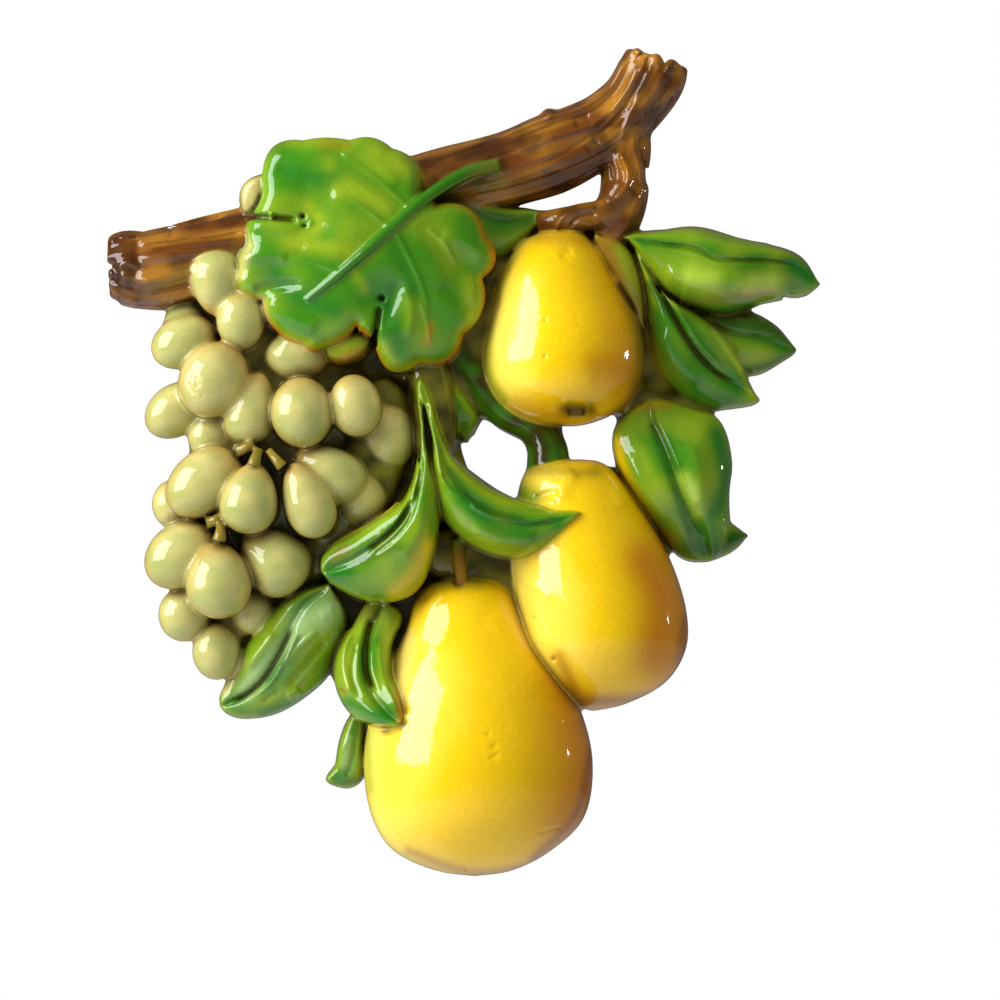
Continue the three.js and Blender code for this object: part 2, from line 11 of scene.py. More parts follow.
import bpy
import numpy as np
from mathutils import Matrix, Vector


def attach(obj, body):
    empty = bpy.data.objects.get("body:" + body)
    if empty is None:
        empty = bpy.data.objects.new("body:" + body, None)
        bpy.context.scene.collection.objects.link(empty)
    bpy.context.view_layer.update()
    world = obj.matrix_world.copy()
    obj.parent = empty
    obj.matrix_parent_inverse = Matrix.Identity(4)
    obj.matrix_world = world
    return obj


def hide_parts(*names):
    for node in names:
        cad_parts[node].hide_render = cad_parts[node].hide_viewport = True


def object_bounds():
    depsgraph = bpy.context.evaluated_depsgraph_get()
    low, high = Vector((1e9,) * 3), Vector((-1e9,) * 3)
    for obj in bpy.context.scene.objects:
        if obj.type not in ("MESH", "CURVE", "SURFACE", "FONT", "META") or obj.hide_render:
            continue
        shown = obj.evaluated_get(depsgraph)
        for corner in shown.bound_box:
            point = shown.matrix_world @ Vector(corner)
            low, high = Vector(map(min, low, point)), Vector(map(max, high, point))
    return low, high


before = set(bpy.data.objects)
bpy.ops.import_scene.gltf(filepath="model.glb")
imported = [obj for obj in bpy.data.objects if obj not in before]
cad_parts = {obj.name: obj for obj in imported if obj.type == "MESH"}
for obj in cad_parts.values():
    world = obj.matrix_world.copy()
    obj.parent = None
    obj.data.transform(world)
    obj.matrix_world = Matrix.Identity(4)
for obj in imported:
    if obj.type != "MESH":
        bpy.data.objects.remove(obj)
bpy.context.view_layer.update()
cad_box = [list(corner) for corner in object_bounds()]
print("the CAD model spans", cad_box)

# %% [markdown]
# ## Camera, background and light
# A relief is best seen square on and from far away, so that near and far parts keep the same
# scale: that is a long lens. The light comes through a tall window on the left, which leaves a
# broad streak of white on every wet-looking form, and a small lamp far to the right adds a dot.
# The surroundings are pale behind the plaque and dimmer in front of it, so the gloss picks up a
# pale line along its rims and stays deep in colour where it faces us.

# %% The camera
VIEW_CENTRE = Vector((0.0194, -0.025, -0.1200))
VIEW_WIDTH = 0.366
CAMERA_AWAY = 4.0


def place_camera():
    data = bpy.data.cameras.new("long_lens")
    data.sensor_width = 36.0
    data.lens = data.sensor_width * CAMERA_AWAY / VIEW_WIDTH
    data.clip_end = 50.0
    camera = bpy.data.objects.new("camera", data)
    camera.location = VIEW_CENTRE + Vector((0, -CAMERA_AWAY, 0))
    camera.rotation_euler = (np.pi / 2, 0, 0)
    bpy.context.scene.collection.objects.link(camera)
    bpy.context.scene.camera = camera
    return camera


camera = place_camera()
print("the lens is", round(camera.data.lens), "mm long")

# %% The floor
FLOOR_LEVEL = -0.75
FLOOR_HALF = 3.0


def lay_floor():
    mesh = bpy.data.meshes.new("floor")
    h = FLOOR_HALF
    mesh.from_pydata([(-h, -h, 0), (h, -h, 0), (h, h, 0), (-h, h, 0)], [], [(0, 1, 2, 3)])
    floor = bpy.data.objects.new("floor", mesh)
    floor.location.z = FLOOR_LEVEL
    bpy.context.scene.collection.objects.link(floor)
    paint = bpy.data.materials.new("pale floor")
    paint.use_nodes = True
    shader = paint.node_tree.nodes["Principled BSDF"]
    shader.inputs["Base Color"].default_value = (0.82, 0.81, 0.79, 1)
    shader.inputs["Roughness"].default_value = 0.9
    mesh.materials.append(paint)
    return floor


floor = lay_floor()
print("the floor lies at", FLOOR_LEVEL, "m")

# %% The lamps
LAMPS = {
    "tall window": {"azimuth": -70, "height": 20, "away": 1.3, "wide": 1.0, "tall": 1.1, "watts": 28},
    "soft front": {"azimuth": 5, "height": 50, "away": 1.8, "wide": 1.6, "tall": 1.0, "watts": 15},
    "small lamp": {"azimuth": 104, "height": 3, "away": 1.2, "wide": 0.05, "tall": 0.05, "watts": 0.7},
}
UNSEEN_IN_GLOSS = ["soft front"]


def hang_lamp(name, azimuth, height, away, wide, tall, watts):
    data = bpy.data.lights.new(name, "AREA")
    data.shape = "RECTANGLE"
    data.size, data.size_y, data.energy = wide, tall, watts
    lamp = bpy.data.objects.new(name, data)
    a, e = np.radians(azimuth), np.radians(height)
    towards = Vector((np.sin(a) * np.cos(e), -np.cos(a) * np.cos(e), np.sin(e)))
    lamp.location = VIEW_CENTRE + towards * away
    lamp.rotation_euler = towards.to_track_quat("Z", "Y").to_euler()
    lamp.visible_camera = False
    lamp.visible_glossy = name not in UNSEEN_IN_GLOSS
    bpy.context.scene.collection.objects.link(lamp)
    return lamp


for name, settings in LAMPS.items():
    hang_lamp(name, **settings)
print("lamps:", ", ".join(LAMPS))

# %% The surroundings
ROOM_GLOW = 0.22
GLOSS_GLOW = 0.10


def light_surroundings():
    world = bpy.data.worlds.new("pale room")
    bpy.context.scene.world = world
    world.use_nodes = True
    nodes, links = world.node_tree.nodes, world.node_tree.links
    nodes.clear()
    ray = nodes.new("ShaderNodeLightPath")
    out = nodes.new("ShaderNodeOutputWorld")
    glow = {}
    for name, strength in (("room", ROOM_GLOW), ("gloss", GLOSS_GLOW), ("backdrop", 1.0)):
        glow[name] = nodes.new("ShaderNodeBackground")
        glow[name].inputs["Color"].default_value = (1, 1, 1, 1)
        glow[name].inputs["Strength"].default_value = strength
    by_gloss, by_camera = nodes.new("ShaderNodeMixShader"), nodes.new("ShaderNodeMixShader")
    links.new(ray.outputs["Is Glossy Ray"], by_gloss.inputs[0])
    links.new(glow["room"].outputs[0], by_gloss.inputs[1])
    links.new(glow["gloss"].outputs[0], by_gloss.inputs[2])
    links.new(ray.outputs["Is Camera Ray"], by_camera.inputs[0])
    links.new(by_gloss.outputs[0], by_camera.inputs[1])
    links.new(glow["backdrop"].outputs[0], by_camera.inputs[2])
    links.new(by_camera.outputs[0], out.inputs[0])


light_surroundings()
bpy.context.scene.view_settings.view_transform = "Standard"
print("the room glows", ROOM_GLOW)

# %% [markdown]
# ## A block of space to pour into
# The block is a grid of numbers. Each holds the distance in millimetres from that place to the
# nearest plaster, less than nothing inside it. Two forms are joined by keeping the smaller
# number, and if the smaller number is eased a little wherever both are near, the joint gets the
# fillet that liquid plaster and lacquer leave. A boolean union of meshes would leave knife-sharp
# seams instead.

# %% The block
STEP = 0.6
MARGIN = 5.0
FAR = 9.0
low_x, high_x, low_z, high_z, high_depth = -129.0, 141.0, -262.0, 51.0, 61.0
xs = np.arange(low_x, high_x, STEP, dtype=np.float32)
depths = np.arange(-2.0 * STEP, high_depth, STEP, dtype=np.float32)
zs = np.arange(low_z, high_z, STEP, dtype=np.float32)
block = np.full((len(xs), len(depths), len(zs)), FAR, np.float32)
print("the block is", block.shape, "cells of", STEP, "mm")


# %% Pouring a form in, and cutting one out
def reach(ticks, low, high):
    return slice(*np.searchsorted(ticks, [low - MARGIN, high + MARGIN]))


def room_for(box):
    (x0, x1), (d0, d1), (z0, z1) = box
    spot = (reach(xs, x0, x1), reach(depths, d0, d1), reach(zs, z0, z1))
    x = xs[spot[0]][:, None, None]
    d = depths[spot[1]][None, :, None]
    z = zs[spot[2]][None, None, :]
    return spot, x, d, z


def eased_least(a, b, ease):
    """The smaller of two distances, rounded off where they are about equal."""
    both = np.maximum(ease - np.abs(a - b), 0) / ease
    return np.minimum(a, b) - both * both * ease / 4


def rounded_most(a, b, radius):
    """The larger of two distances, with a round edge of that radius where they meet."""
    outside = np.hypot(np.maximum(a + radius, 0), np.maximum(b + radius, 0)) - radius
    return np.where(np.maximum(a, b) < -radius, np.maximum(a, b), outside)


def pour(form):
    spot, x, d, z = room_for(form["box"])
    mine = np.minimum(form["near"](x, d, z), FAR).astype(np.float32)
    block[spot] = eased_least(block[spot], mine, form["fillet"])


def cut(box, near, radius):
    spot, x, d, z = room_for(box)
    block[spot] = rounded_most(block[spot], -near(x, d, z), radius).astype(np.float32)


# %% [markdown]
# ## Smooth lines
# Leaves, stems and pears are all drawn from a few measured points with a smooth curve through
# them, as a draughtsman bends a thin batten round pins. The Catmull-Rom curve does this: it
# passes through every point and needs no handles.

# %% Curves through points
def through(pins, gaps):
    """The smooth curve from the second pin to the last but one, and the share of the way there."""
    count = len(pins) - 3
    place = np.linspace(0, count, 32 * count + 1)
    i = np.minimum(place.astype(int), count - 1)
    u = (place - i)[:, None]
    before, here, after = (gaps[i + k][:, None] for k in range(3))
    p0, p1, p2, p3 = (pins[i + k] for k in range(4))
    leave = ((p1 - p0) / before - (p2 - p0) / (before + here) + (p2 - p1) / here) * here
    arrive = ((p2 - p1) / here - (p3 - p1) / (here + after) + (p3 - p2) / after) * here
    curve = (2 * u**3 - 3 * u**2 + 1) * p1 + (u**3 - 2 * u**2 + u) * leave
    curve += (3 * u**2 - 2 * u**3) * p2 + (u**3 - u**2) * arrive
    return curve, place / count


def bent_line(points, spaced_by):
    """The curve through points, with its pins spaced by the distance in so many of their columns."""
    points = np.array(points, float)
    pins = np.vstack([2 * points[0] - points[1], points, 2 * points[-1] - points[-2]])
    gaps = np.linalg.norm(np.diff(pins[:, :spaced_by], axis=0), axis=1) ** 0.5
    return through(pins, gaps)[0]


def even_line(points, count=160):
    """Evenly spaced places along a curve: x, z and whatever else each point carries."""
    curve = bent_line(points, 2)
    run = np.append(0, np.cumsum(np.linalg.norm(np.diff(curve[:, :2], axis=0), axis=1)))
    even = np.linspace(0, run[-1], count)
    return np.column_stack([np.interp(even, run, column) for column in curve.T])


def graded(values):
    """A smooth run through evenly spaced values, as a function of a share from 0 to 1."""
    pins = np.array([values[0], *values, values[-1]], float)[:, None]
    curve, share = through(pins, np.ones(len(pins) - 1))
    return lambda t: np.interp(t, share, curve[:, 0])


def length_of(line):
    return float(np.linalg.norm(np.diff(line[:, :2], axis=0), axis=1).sum())


print("a curve through 3 points:", even_line([(0, 0), (5, 3), (10, 0)], 3).round(2).tolist())


# %% Measuring from a line and from an outline
def beside(line, x, z):
    """For each place: the share of the way along a line, how far left of it, how far past its ends."""
    x, z = np.broadcast_arrays(x, z)
    flat = np.column_stack([x.ravel(), z.ravel()])
    spots = line[:, :2]
    nearest = np.empty(len(flat), int)
    for start in range(0, len(flat), 20000):
        some = flat[start : start + 20000]
        away = (some[:, :1] - spots[:, 0]) ** 2 + (some[:, 1:] - spots[:, 1]) ** 2
        nearest[start : start + 20000] = away.argmin(1)
    ahead = np.gradient(spots, axis=0)
    gap = np.linalg.norm(ahead, axis=1)
    ahead = ahead / gap[:, None]
    off = flat - spots[nearest]
    run = nearest + (off * ahead[nearest]).sum(1) / gap[nearest]
    left = off[:, 1] * ahead[nearest, 0] - off[:, 0] * ahead[nearest, 1]
    last = len(spots) - 1
    past = np.maximum(-run, run - last) * gap[0]
    share = np.clip(run / last, 0, 1)
    return share.reshape(x.shape), left.reshape(x.shape), past.reshape(x.shape)


def outside_of(outline, x, z):
    """How far outside a closed outline each place lies; less than nothing inside it."""
    x, z = np.broadcast_arrays(x, z)
    nearest = np.full(x.shape, np.inf)
    turns = np.zeros(x.shape, int)
    for (ax, az), (bx, bz) in zip(outline, np.roll(outline, -1, axis=0)):
        run, rise = bx - ax, bz - az
        share = np.clip(((x - ax) * run + (z - az) * rise) / max(run**2 + rise**2, 1e-9), 0, 1)
        nearest = np.minimum(nearest, (x - ax - share * run) ** 2 + (z - az - share * rise) ** 2)
        crossed = ((az > z) != (bz > z)) & (x < ax + (z - az) * run / (rise or 1))
        turns += np.where(crossed, 1 if bz > az else -1, 0)
    return np.where(turns != 0, -1, 1) * np.sqrt(nearest)


def soft_step(low, high, value):
    u = np.clip((value - low) / (high - low), 0, 1)
    return u * u * (3 - 2 * u)


# %% Maps on a plane
def read_map(values, first, step, a, b):
    """The values of a map at places between its points."""
    u = np.clip((a - first[0]) / step, 0, values.shape[0] - 1.001)
    v = np.clip((b - first[1]) / step, 0, values.shape[1] - 1.001)
    i, j = u.astype(int), v.astype(int)
    u, v = u - i, v - j
    near_row = values[i, j] * (1 - v) + values[i, j + 1] * v
    far_row = values[i + 1, j] * (1 - v) + values[i + 1, j + 1] * v
    return near_row * (1 - u) + far_row * u


# %% [markdown]
# ## Tool marks
# The modeller pressed veins, folds, bark and dents into each form with a tool, and time has
# added pits and scratches. Each mark here is one stroke of a tool: the form it is on, points
# along it in x and z, its width, and how high it stands (or how deep it goes, below zero).

# %% The tool marks
MARKS = [
    ("branch", [(-105.8, -21.2), (-94.1, -18.3), (-80.2, -15.4)], 0.6, -1.1),
    ("branch", [(-113.1, -27.1), (-97.7, -25.6), (-84.9, -24.2), (-72.8, -21.6)], 0.7, -1.3),
    ("branch", [(-112.4, -29.3), (-103.2, -27.4), (-88.6, -26), (-75.8, -23.8)], 0.8, 1),
    ("branch", [(-112.4, -31.8), (-95.9, -29.6), (-83.1, -27.4)], 0.7, 0.8),
    ("branch", [(-114.2, -35.1), (-97.7, -32.9), (-84.9, -30.7)], 1.1, -0.7),
    ("branch", [(-112.4, -40.6), (-103.2, -38.1), (-90.4, -35.9)], 1.5, 0.8),
    ("branch", [(-108.7, -44.7), (-101.4, -42.8), (-92.2, -41)], 0.8, -1),
    ("branch", [(-124.1, -32.9), (-121.1, -37.3), (-123, -41)], 1.3, -1.6),
    ("branch", [(-121.1, -35.1), (-117.5, -33.3), (-112.4, -34.8)], 1, 1.5),
    ("branch", [(-125.5, -23.4), (-125.9, -28.5), (-124.4, -32.9)], 1.1, 1.2),
    ("branch", [(-122.2, -24.2), (-118.2, -24.5), (-113.1, -23.4)], 0.7, -1),
    ("branch", [(-114.2, -23.4), (-113.5, -32.9), (-116, -43.2)], 1.8, -1.2),
    ("branch", [(-124.1, -43.9), (-119, -46.8), (-112.4, -47.9)], 1.5, 1),
    ("branch", [(-101.4, -19.8), (-100.6, -24.9)], 1.1, -0.5),
    ("branch", [(37, 22.3)], 2.2, 2.2),
    ("branch", [(66.2, 44.7), (60.4, 32.2), (50.5, 24.5), (34, 19), (15.7, 11.7)], 0.9, 1.2),
    ("branch", [(68.4, 42.5), (62.6, 30.7), (53.1, 22.3), (37.7, 16.8), (19.4, 9.5)], 0.7, -1.1),
    ("branch", [(71.4, 42.5), (65.1, 29.3), (57.1, 19.8), (41.4, 13.2), (21.2, 6.6)], 0.9, 1),
    ("branch", [(73.6, 39.5), (67.7, 27.8), (60.4, 18.3), (52.3, 11.7)], 0.7, -1.1),
    ("branch", [(70.6, 29.3), (66.2, 19), (63.3, 9.9)], 0.9, 1),
    ("branch", [(64, 30), (56, 17.2), (45, 8.1), (34, 2.6)], 0.7, -0.8),
    ("branch", [(53.1, 19.8), (46.5, 17.6)], 1.8, -1.3),
    ("branch", [(56, 11.7), (50.5, 8.1)], 1.5, -1.2),
    ("branch", [(41.4, 8.1), (26.7, 2.6), (12.1, -2.9)], 1, 0.8),
    ("branch", [(35.9, 11.7), (23.1, 7.3), (8.4, 1.5)], 0.7, -0.8),
    ("branch", [(-6.2, 2.6), (8.4, 8.1), (19.4, 11.7)], 0.7, -0.9),
    ("branch", [(-8.1, -1.1), (2.9, 2.6), (15.7, 4.4)], 0.9, 0.8),
    ("branch", [(68.8, 45.4), (70.6, 43.2)], 1.3, 1.8),
    ("branch", [(77.2, 43.9), (76.1, 38.8)], 1.3, 1.5),
    ("branch", [(83.4, 41.7), (80.9, 36.6)], 1.5, 1.6),
    ("branch", [(73.6, 42.5), (72.8, 36.6)], 0.7, -1.6),
    ("branch", [(80.2, 42.5), (78.7, 35.9)], 0.7, -1.6),
    ("branch", [(86.7, 36.6), (82.3, 30), (76.1, 23.4)], 1.1, 0.8),
    ("branch", [(83.8, 29.3), (78, 22), (74.3, 15.4)], 0.7, -0.9),
    ("fork", [(78, 26.4), (72.8, 18.3), (70.6, 11), (72.5, 2.6), (73.6, -6.6)], 0.9, -1.4),
    ("fork", [(74.3, 27.1), (69.5, 18.3), (68.4, 11), (69.9, 4.4), (71, -4.8)], 0.9, 1),
    ("fork", [(62.6, 8.1), (65.5, 2.6), (66.2, -2.9), (63.3, -8.8), (57.5, -12.8)], 1.2, 2.2),
    ("fork", [(59.3, 5.1), (61.1, 0), (60.4, -5.9), (56, -10.2)], 0.8, -1.4),
    ("fork", [(68.4, 2.6), (69.5, -4.8), (66.2, -12.1), (59.7, -15.7)], 0.9, -1.2),
    ("fork", [(74.3, 19), (75, 8.1), (76.1, -2.9)], 1.1, 0.6),
    ("hook", [(56, -12.4), (47.9, -13.2), (42.1, -16.8), (38.8, -22.7)], 1.1, 1.4),
    ("hook", [(55.3, -15.4), (47.9, -16.8), (44.3, -20.5)], 0.7, -1.4),
    ("hook", [(56.7, -18.3), (50.9, -19.8)], 0.7, 0.8),
    ("vineLeaf", [(-76.5, -16.5), (-67.7, -16.8), (-53.8, -17.9)], 1.1, -3.6),
    ("vineLeaf", [(-64, -15), (-64, -17.9)], 0.6, 2.2),
    ("vineLeaf", [(-52.7, -16.5)], 0.9, -3.2),
    ("vineLeaf", [(-52, -20.1)], 0.8, -2.4),
    ("vineLeaf", [(-53.1, -21.2), (-50.1, -19.8), (-49.4, -17.2)], 0.6, 0.5),
    ("vineLeaf", [(-71.4, -43.2), (-63, -42.1), (-52, -41)], 1.8, -1.4),
    ("vineLeaf", [(-65.5, -45.8), (-57.5, -52.3), (-46.5, -57.8)], 3.3, 1.1),
    ("vineLeaf", [(-75.8, -32.9), (-67.7, -30.4), (-57.5, -31.5)], 2.2, 0.9),
    ("vineLeaf", [(-72.1, -23.1), (-61.1, -24.9), (-50.1, -28.5)], 1.8, -0.8),
    ("vineLeaf", [(-63, 2.6), (-53.8, -4.8), (-39.2, -8.4)], 3.3, -0.9),
    ("vineLeaf", [(-39.2, 8.1), (-24.5, 2.6), (-17.2, -6.6)], 2.9, 0.7),
    ("vineLeaf", [(-23.4, -57.8), (-20.1, -48.7), (-17.2, -39.5)], 2.2, -1.2),
    ("vineLeaf", [(-14.3, -61.5), (-12.8, -50.5), (-15.4, -41.4)], 1.8, 0.8),
    ("vineLeaf", [(-2.6, -41.4), (5.5, -46.8), (11.3, -54.2)], 2.6, -0.8),
    ("vineLeaf", [(-2.6, -23.1), (8.4, -26.7), (13.9, -32.9)], 2.9, 0.9),
    ("vineLeaf", [(-23.8, -46.5)], 1.1, -4),
    ("vineLeaf", [(-24.5, -48.7), (-25.6, -56), (-26.7, -65.1)], 0.9, -4),
    ("vineLeaf", [(-33.3, -59.7), (-30, -56), (-27.4, -58.9)], 0.7, 0.6),
    ("vineLeaf", [(-9.9, -46.8), (-7, -56), (-6.2, -63.3)], 0.6, 0.6),
    ("vineLeaf", [(-67.7, 5.5)], 0.5, -0.8),
    ("vineLeaf", [(-65.9, 1.8)], 0.4, -0.8),
    ("vineLeaf", [(-47.9, -53.1)], 0.4, -0.7),
    ("upperRight", [
        (67.7, -24.2), (79.8, -26.4), (91.5, -28.5),
        (99.9, -32.2), (118.6, -32.6), (133.6, -35.1),
    ], 0.5, -1),
    ("upperRight", [
        (70.6, -26.4), (79.8, -28.2), (91.5, -30.4),
        (99.9, -33.7), (118.2, -34.4), (129.2, -35.5),
    ], 0.5, 0.7),
    ("upperRight", [(78, -24.9), (91.5, -26.7), (100.6, -30.4), (118.2, -30.7)], 0.5, 0.5),
    ("upperRight", [(78, -37.7), (92.6, -40.3), (110.9, -40.3)], 4.4, 1.5),
    ("upperRight", [(76.1, -22), (96.3, -22.7), (118.2, -27.1)], 1.5, -0.6),
    ("middleRight", [
        (72.1, -35.9), (78, -43.9), (83.8, -54.2),
        (90, -64.4), (97.4, -72.5), (106.5, -78.3),
    ], 0.6, -1.6),
    ("middleRight", [(76.1, -36.6), (81.6, -44.7), (87.1, -54.2), (93.3, -63.7), (101.4, -71.7)], 0.5, 0.8),
    ("middleRight", [(67.7, -29.3), (70.6, -37.7), (72.8, -46.8), (74.3, -57.8)], 0.7, 1.8),
    ("middleRight", [(78, -57.8), (83.4, -68.8), (92.6, -78)], 2.9, 1.2),
    ("middleRight", [(92.6, -54.2), (100.6, -65.1), (108, -76.1)], 2.2, 0.9),
    ("behindRight", [(92.6, -53.4), (106.1, -59.3), (122.6, -59.7)], 0.7, -1),
    ("behindRight", [(105.4, -53.4), (116.4, -54.9)], 1.8, 0.8),
    ("behindRight", [(105.4, -65.1), (118.2, -65.1)], 1.8, 0.9),
    ("hanging", [
        (72.1, -86.4), (78, -96.6), (81.6, -106.1),
        (86, -118.6), (91.9, -129.9), (97.7, -136.2),
    ], 0.5, -1),
    ("hanging", [(74.7, -86.4), (80.2, -96.6), (84.2, -106.1), (88.2, -117.9), (93.7, -128.1)], 0.5, 0.9),
    ("hanging", [(88.9, -98.1), (92.6, -110.9), (93.3, -123.7)], 3.3, 1.3),
    ("hanging", [(66.2, -101.7), (72.5, -116.4), (80.9, -129.2)], 2.2, 0.9),
    ("hanging", [(100.6, -125.5), (103.6, -131), (108.7, -133.2)], 1.5, 1),
    ("centreRight", [
        (-4, -98.1), (-1.1, -112.7), (6.6, -120),
        (15.7, -125.2), (28.5, -127.7), (41.4, -126.3),
    ], 0.8, 1.5),
    ("centreRight", [(-2.2, -109.8), (2.9, -117.1), (10.2, -122.6)], 0.7, -1.3),
    ("centreRight", [(5.5, -117.1), (16.5, -122.2), (30.4, -124.4), (41.4, -123.7)], 0.7, -0.7),
    ("centreRight", [(-8.4, -83.4), (-7, -94.4), (-5.5, -103.6)], 0.7, -1.4),
    ("centreRight", [(-6.2, -82.7), (-4.8, -94.4), (-2.6, -103.6)], 0.7, 0.8),
    ("centreRight", [(-6.6, -104.7), (-4.8, -114.2), (-2.6, -128.1), (1.1, -134)], 0.5, 1.3),
    ("centreRight", [(8.4, -129.2), (19.4, -134.7), (34, -134)], 2.6, 0.9),
    ("centreLeft", [(-12.8, -79.8), (-11, -90.8), (-9.9, -101.7), (-9.9, -111.3)], 0.6, -1.6),
    ("centreLeft", [(-10.6, -80.5), (-8.8, -94.4), (-8.4, -103.6)], 0.5, 0.9),
    ("centreLeft", [(-12.1, -114.6), (-14.3, -123), (-19, -130.3), (-29.6, -139.1)], 0.7, -1.5),
    ("centreLeft", [(-9.9, -112.7), (-12.8, -125.5), (-17.9, -132.9), (-27.4, -140.5)], 0.6, -1.1),
    ("centreLeft", [(-13.5, -112), (-17.9, -120), (-26, -127.4), (-38.4, -134), (-44.3, -139.1)], 0.9, 1.2),
    ("centreLeft", [(-15.4, -121.9), (-18.7, -128.1), (-26, -134.7)], 0.6, 0.7),
    ("centreLeft", [(-8.4, -120), (-9.9, -131), (-17.2, -142)], 2.9, 1.2),
    ("lowerLeft", [
        (-56, -165.4), (-59.3, -172.4), (-62.2, -177.9),
        (-67.7, -186.3), (-75, -192.2), (-79.4, -194),
    ], 0.8, -2.4),
    ("lowerLeft", [
        (-53.8, -166.9), (-57.1, -174.2), (-59.7, -179.3),
        (-64.8, -187.4), (-72.1, -193.2),
    ], 0.7, 1),
    ("lowerLeft", [(-63, -167.6), (-67.7, -174.2), (-73.9, -182.3)], 1.8, 1.2),
    ("lowerLeft", [(-60, -181.5), (-54.5, -174.2), (-47.2, -167.6)], 1.2, 1.2),
    ("lowerLeft", [(-58.9, -188.9), (-52, -180.4), (-43.6, -170.6)], 1.2, -1.4),
    ("lowerLeft", [(-58.6, -192.2), (-53.8, -189.6)], 1.5, 1.3),
    ("lowerLeft", [(-46.5, -162.1), (-41, -160.3)], 1.8, 0.8),
    ("lowerLeft", [(-67.7, -194), (-61.1, -189.6)], 0.9, -0.8),
    ("besidePear", [(-27.4, -162.1), (-29.6, -171.3), (-29.6, -181.5), (-26, -190.7)], 1, -3),
    ("besidePear", [(-34.8, -165.8), (-38.1, -178.6), (-35.1, -192.5)], 1.8, 1.4),
    ("besidePear", [(-24.5, -171.3), (-22.3, -185.9), (-17.9, -196.9)], 1.6, 1.3),
    ("besidePear", [(-32.9, -171.3), (-34.4, -184.1), (-31.1, -193.2)], 0.7, -0.7),
    ("besidePear", [(-20.1, -189.6), (-17.2, -196.9)], 1.1, 0.6),
    ("besidePear", [(-29.6, -186.7)], 0.5, -0.8),
    ("besidePear", [(-38.4, -188.9)], 0.7, -0.9),
    ("belowLeft", [(-37.3, -222.5), (-34.8, -215.2), (-33.3, -206.1)], 0.7, -0.9),
    ("upperPear", [(56, -24.9), (60.4, -32.9), (64, -41.4)], 1.8, 1.6),
    ("upperPear", [(45.8, -28.5), (41.4, -31.5)], 2.2, -0.5),
    ("upperPear", [(36.2, -53.4), (35.9, -55.6)], 0.3, -0.5),
    ("upperPear", [(35.9, -66.6), (35.9, -68.8)], 0.4, -0.7),
    ("upperPear", [(47.9, -56)], 0.4, -0.5),
    ("upperPear", [(46.8, -54.5)], 0.3, -0.4),
    ("upperPear", [(29.6, -74.3), (41.4, -79.8), (56, -78)], 4.4, 0.5),
    ("upperPear", [(43.6, -87.1), (50.9, -87.1)], 2.2, -2.6),
    ("upperPear", [(41.4, -84.2), (52.3, -84.2)], 0.7, 0.6),
    ("upperPear", [(39.9, -90.8), (46.8, -92.6), (54.9, -90)], 0.7, 0.5),
    ("rightPear", [(46.8, -109.1), (42.1, -115.7), (41.4, -120)], 3.2, 1.0),
    ("rightPear", [(31.8, -120), (35.9, -118.2), (41.4, -117.1)], 1.5, -1.2),
    ("rightPear", [(56, -109.1), (61.5, -114.6), (65.1, -123.7)], 2.9, 0.6),
    ("rightPear", [(31.8, -163.2)], 0.6, -1),
    ("rightPear", [(39.2, -177.9)], 0.7, -1.4),
    ("rightPear", [(26.7, -149.3), (32.2, -151.2), (37.7, -156.6)], 1.8, 0.6),
    ("lowerPear", [(4.4, -150.4)], 1.8, -2.2),
    ("lowerPear", [(0.4, -153), (-6.2, -158.5), (-9.9, -171.3)], 2.2, 0.8),
    ("lowerPear", [(-21.2, -203.5)], 2.6, -2),
    ("lowerPear", [(-19, -193.2), (-15.4, -198.7)], 1.8, -0.8),
    ("lowerPear", [(15, -205)], 0.7, -0.6),
    ("lowerPear", [(17.2, -209.4)], 0.9, -0.6),
    ("lowerPear", [(15.7, -213.7), (19.4, -212.3)], 0.6, -0.5),
    ("lowerPear", [(32.9, -241.6), (37.7, -240.1), (42.5, -239.4)], 0.4, -0.6),
    ("lowerPear", [(7, -254.7)], 0.7, -0.8),
    ("lowerPear", [(15.7, -160.3), (26.7, -174.9), (35.9, -189.6)], 3.7, 0.8),
    ("grape04", [(-93.3, -73.2), (-94.1, -78), (-91.9, -82)], 0.7, -0.6),
    ("grape04", [(-91.9, -74.7), (-90.4, -79.1)], 0.7, -0.5),
    ("grape04", [(-94.1, -76.1)], 0.5, 0.5),
    ("grape04", [(-89.3, -82)], 0.6, -0.4),
]


STROKE_PLACES = 40
STROKE_END = 0.15


def stroke(points, width, x, z, fading=True):
    """How strongly a stroke touches each place: 1 on its line, fading to its sides and its ends."""
    if len(points) == 1:
        return np.exp(-((x - points[0][0]) ** 2 + (z - points[0][1]) ** 2) / width**2)
    points = points if len(points) > 2 else [points[0], np.mean(points, axis=0), points[1]]
    line = even_line(points, STROKE_PLACES)
    share, left, past = beside(line, x, z)
    away = np.hypot(left, np.maximum(past, 0))
    ends = soft_step(0, STROKE_END, share) * soft_step(0, STROKE_END, 1 - share) if fading else 1
    return np.exp(-((away / width) ** 2)) * ends


def with_marks(name, near):
    mine = [mark[1:] for mark in MARKS if mark[0] == name]

    def marked(x, d, z):
        lift = sum(height * stroke(points, width, x, z) for points, width, height in mine)
        return near(x, d, z) - lift

    return marked if mine else near


forms = []


def add_form(name, kind, box, fillet, near, **more):
    form = {"name": name, "kind": kind, "box": box, "fillet": fillet, "near": with_marks(name, near), **more}
    pour(form)
    forms.append(form)


print(len(MARKS), "tool marks")

# %% [markdown]
# ## Sheets: the backing, leaves and low mounds
# Seen from the front, a leaf is an outline and a height. So each sheet is drawn as a map of two
# numbers over x and z: how far outside its outline a place lies, and how high the face stands
# there. Its edge then falls straight back into the casting, with its rim rounded over by the
# lacquer. Modelling each leaf as a bent mesh would let its edge curl free of the casting, but
# would need a seam wherever two of them meet.

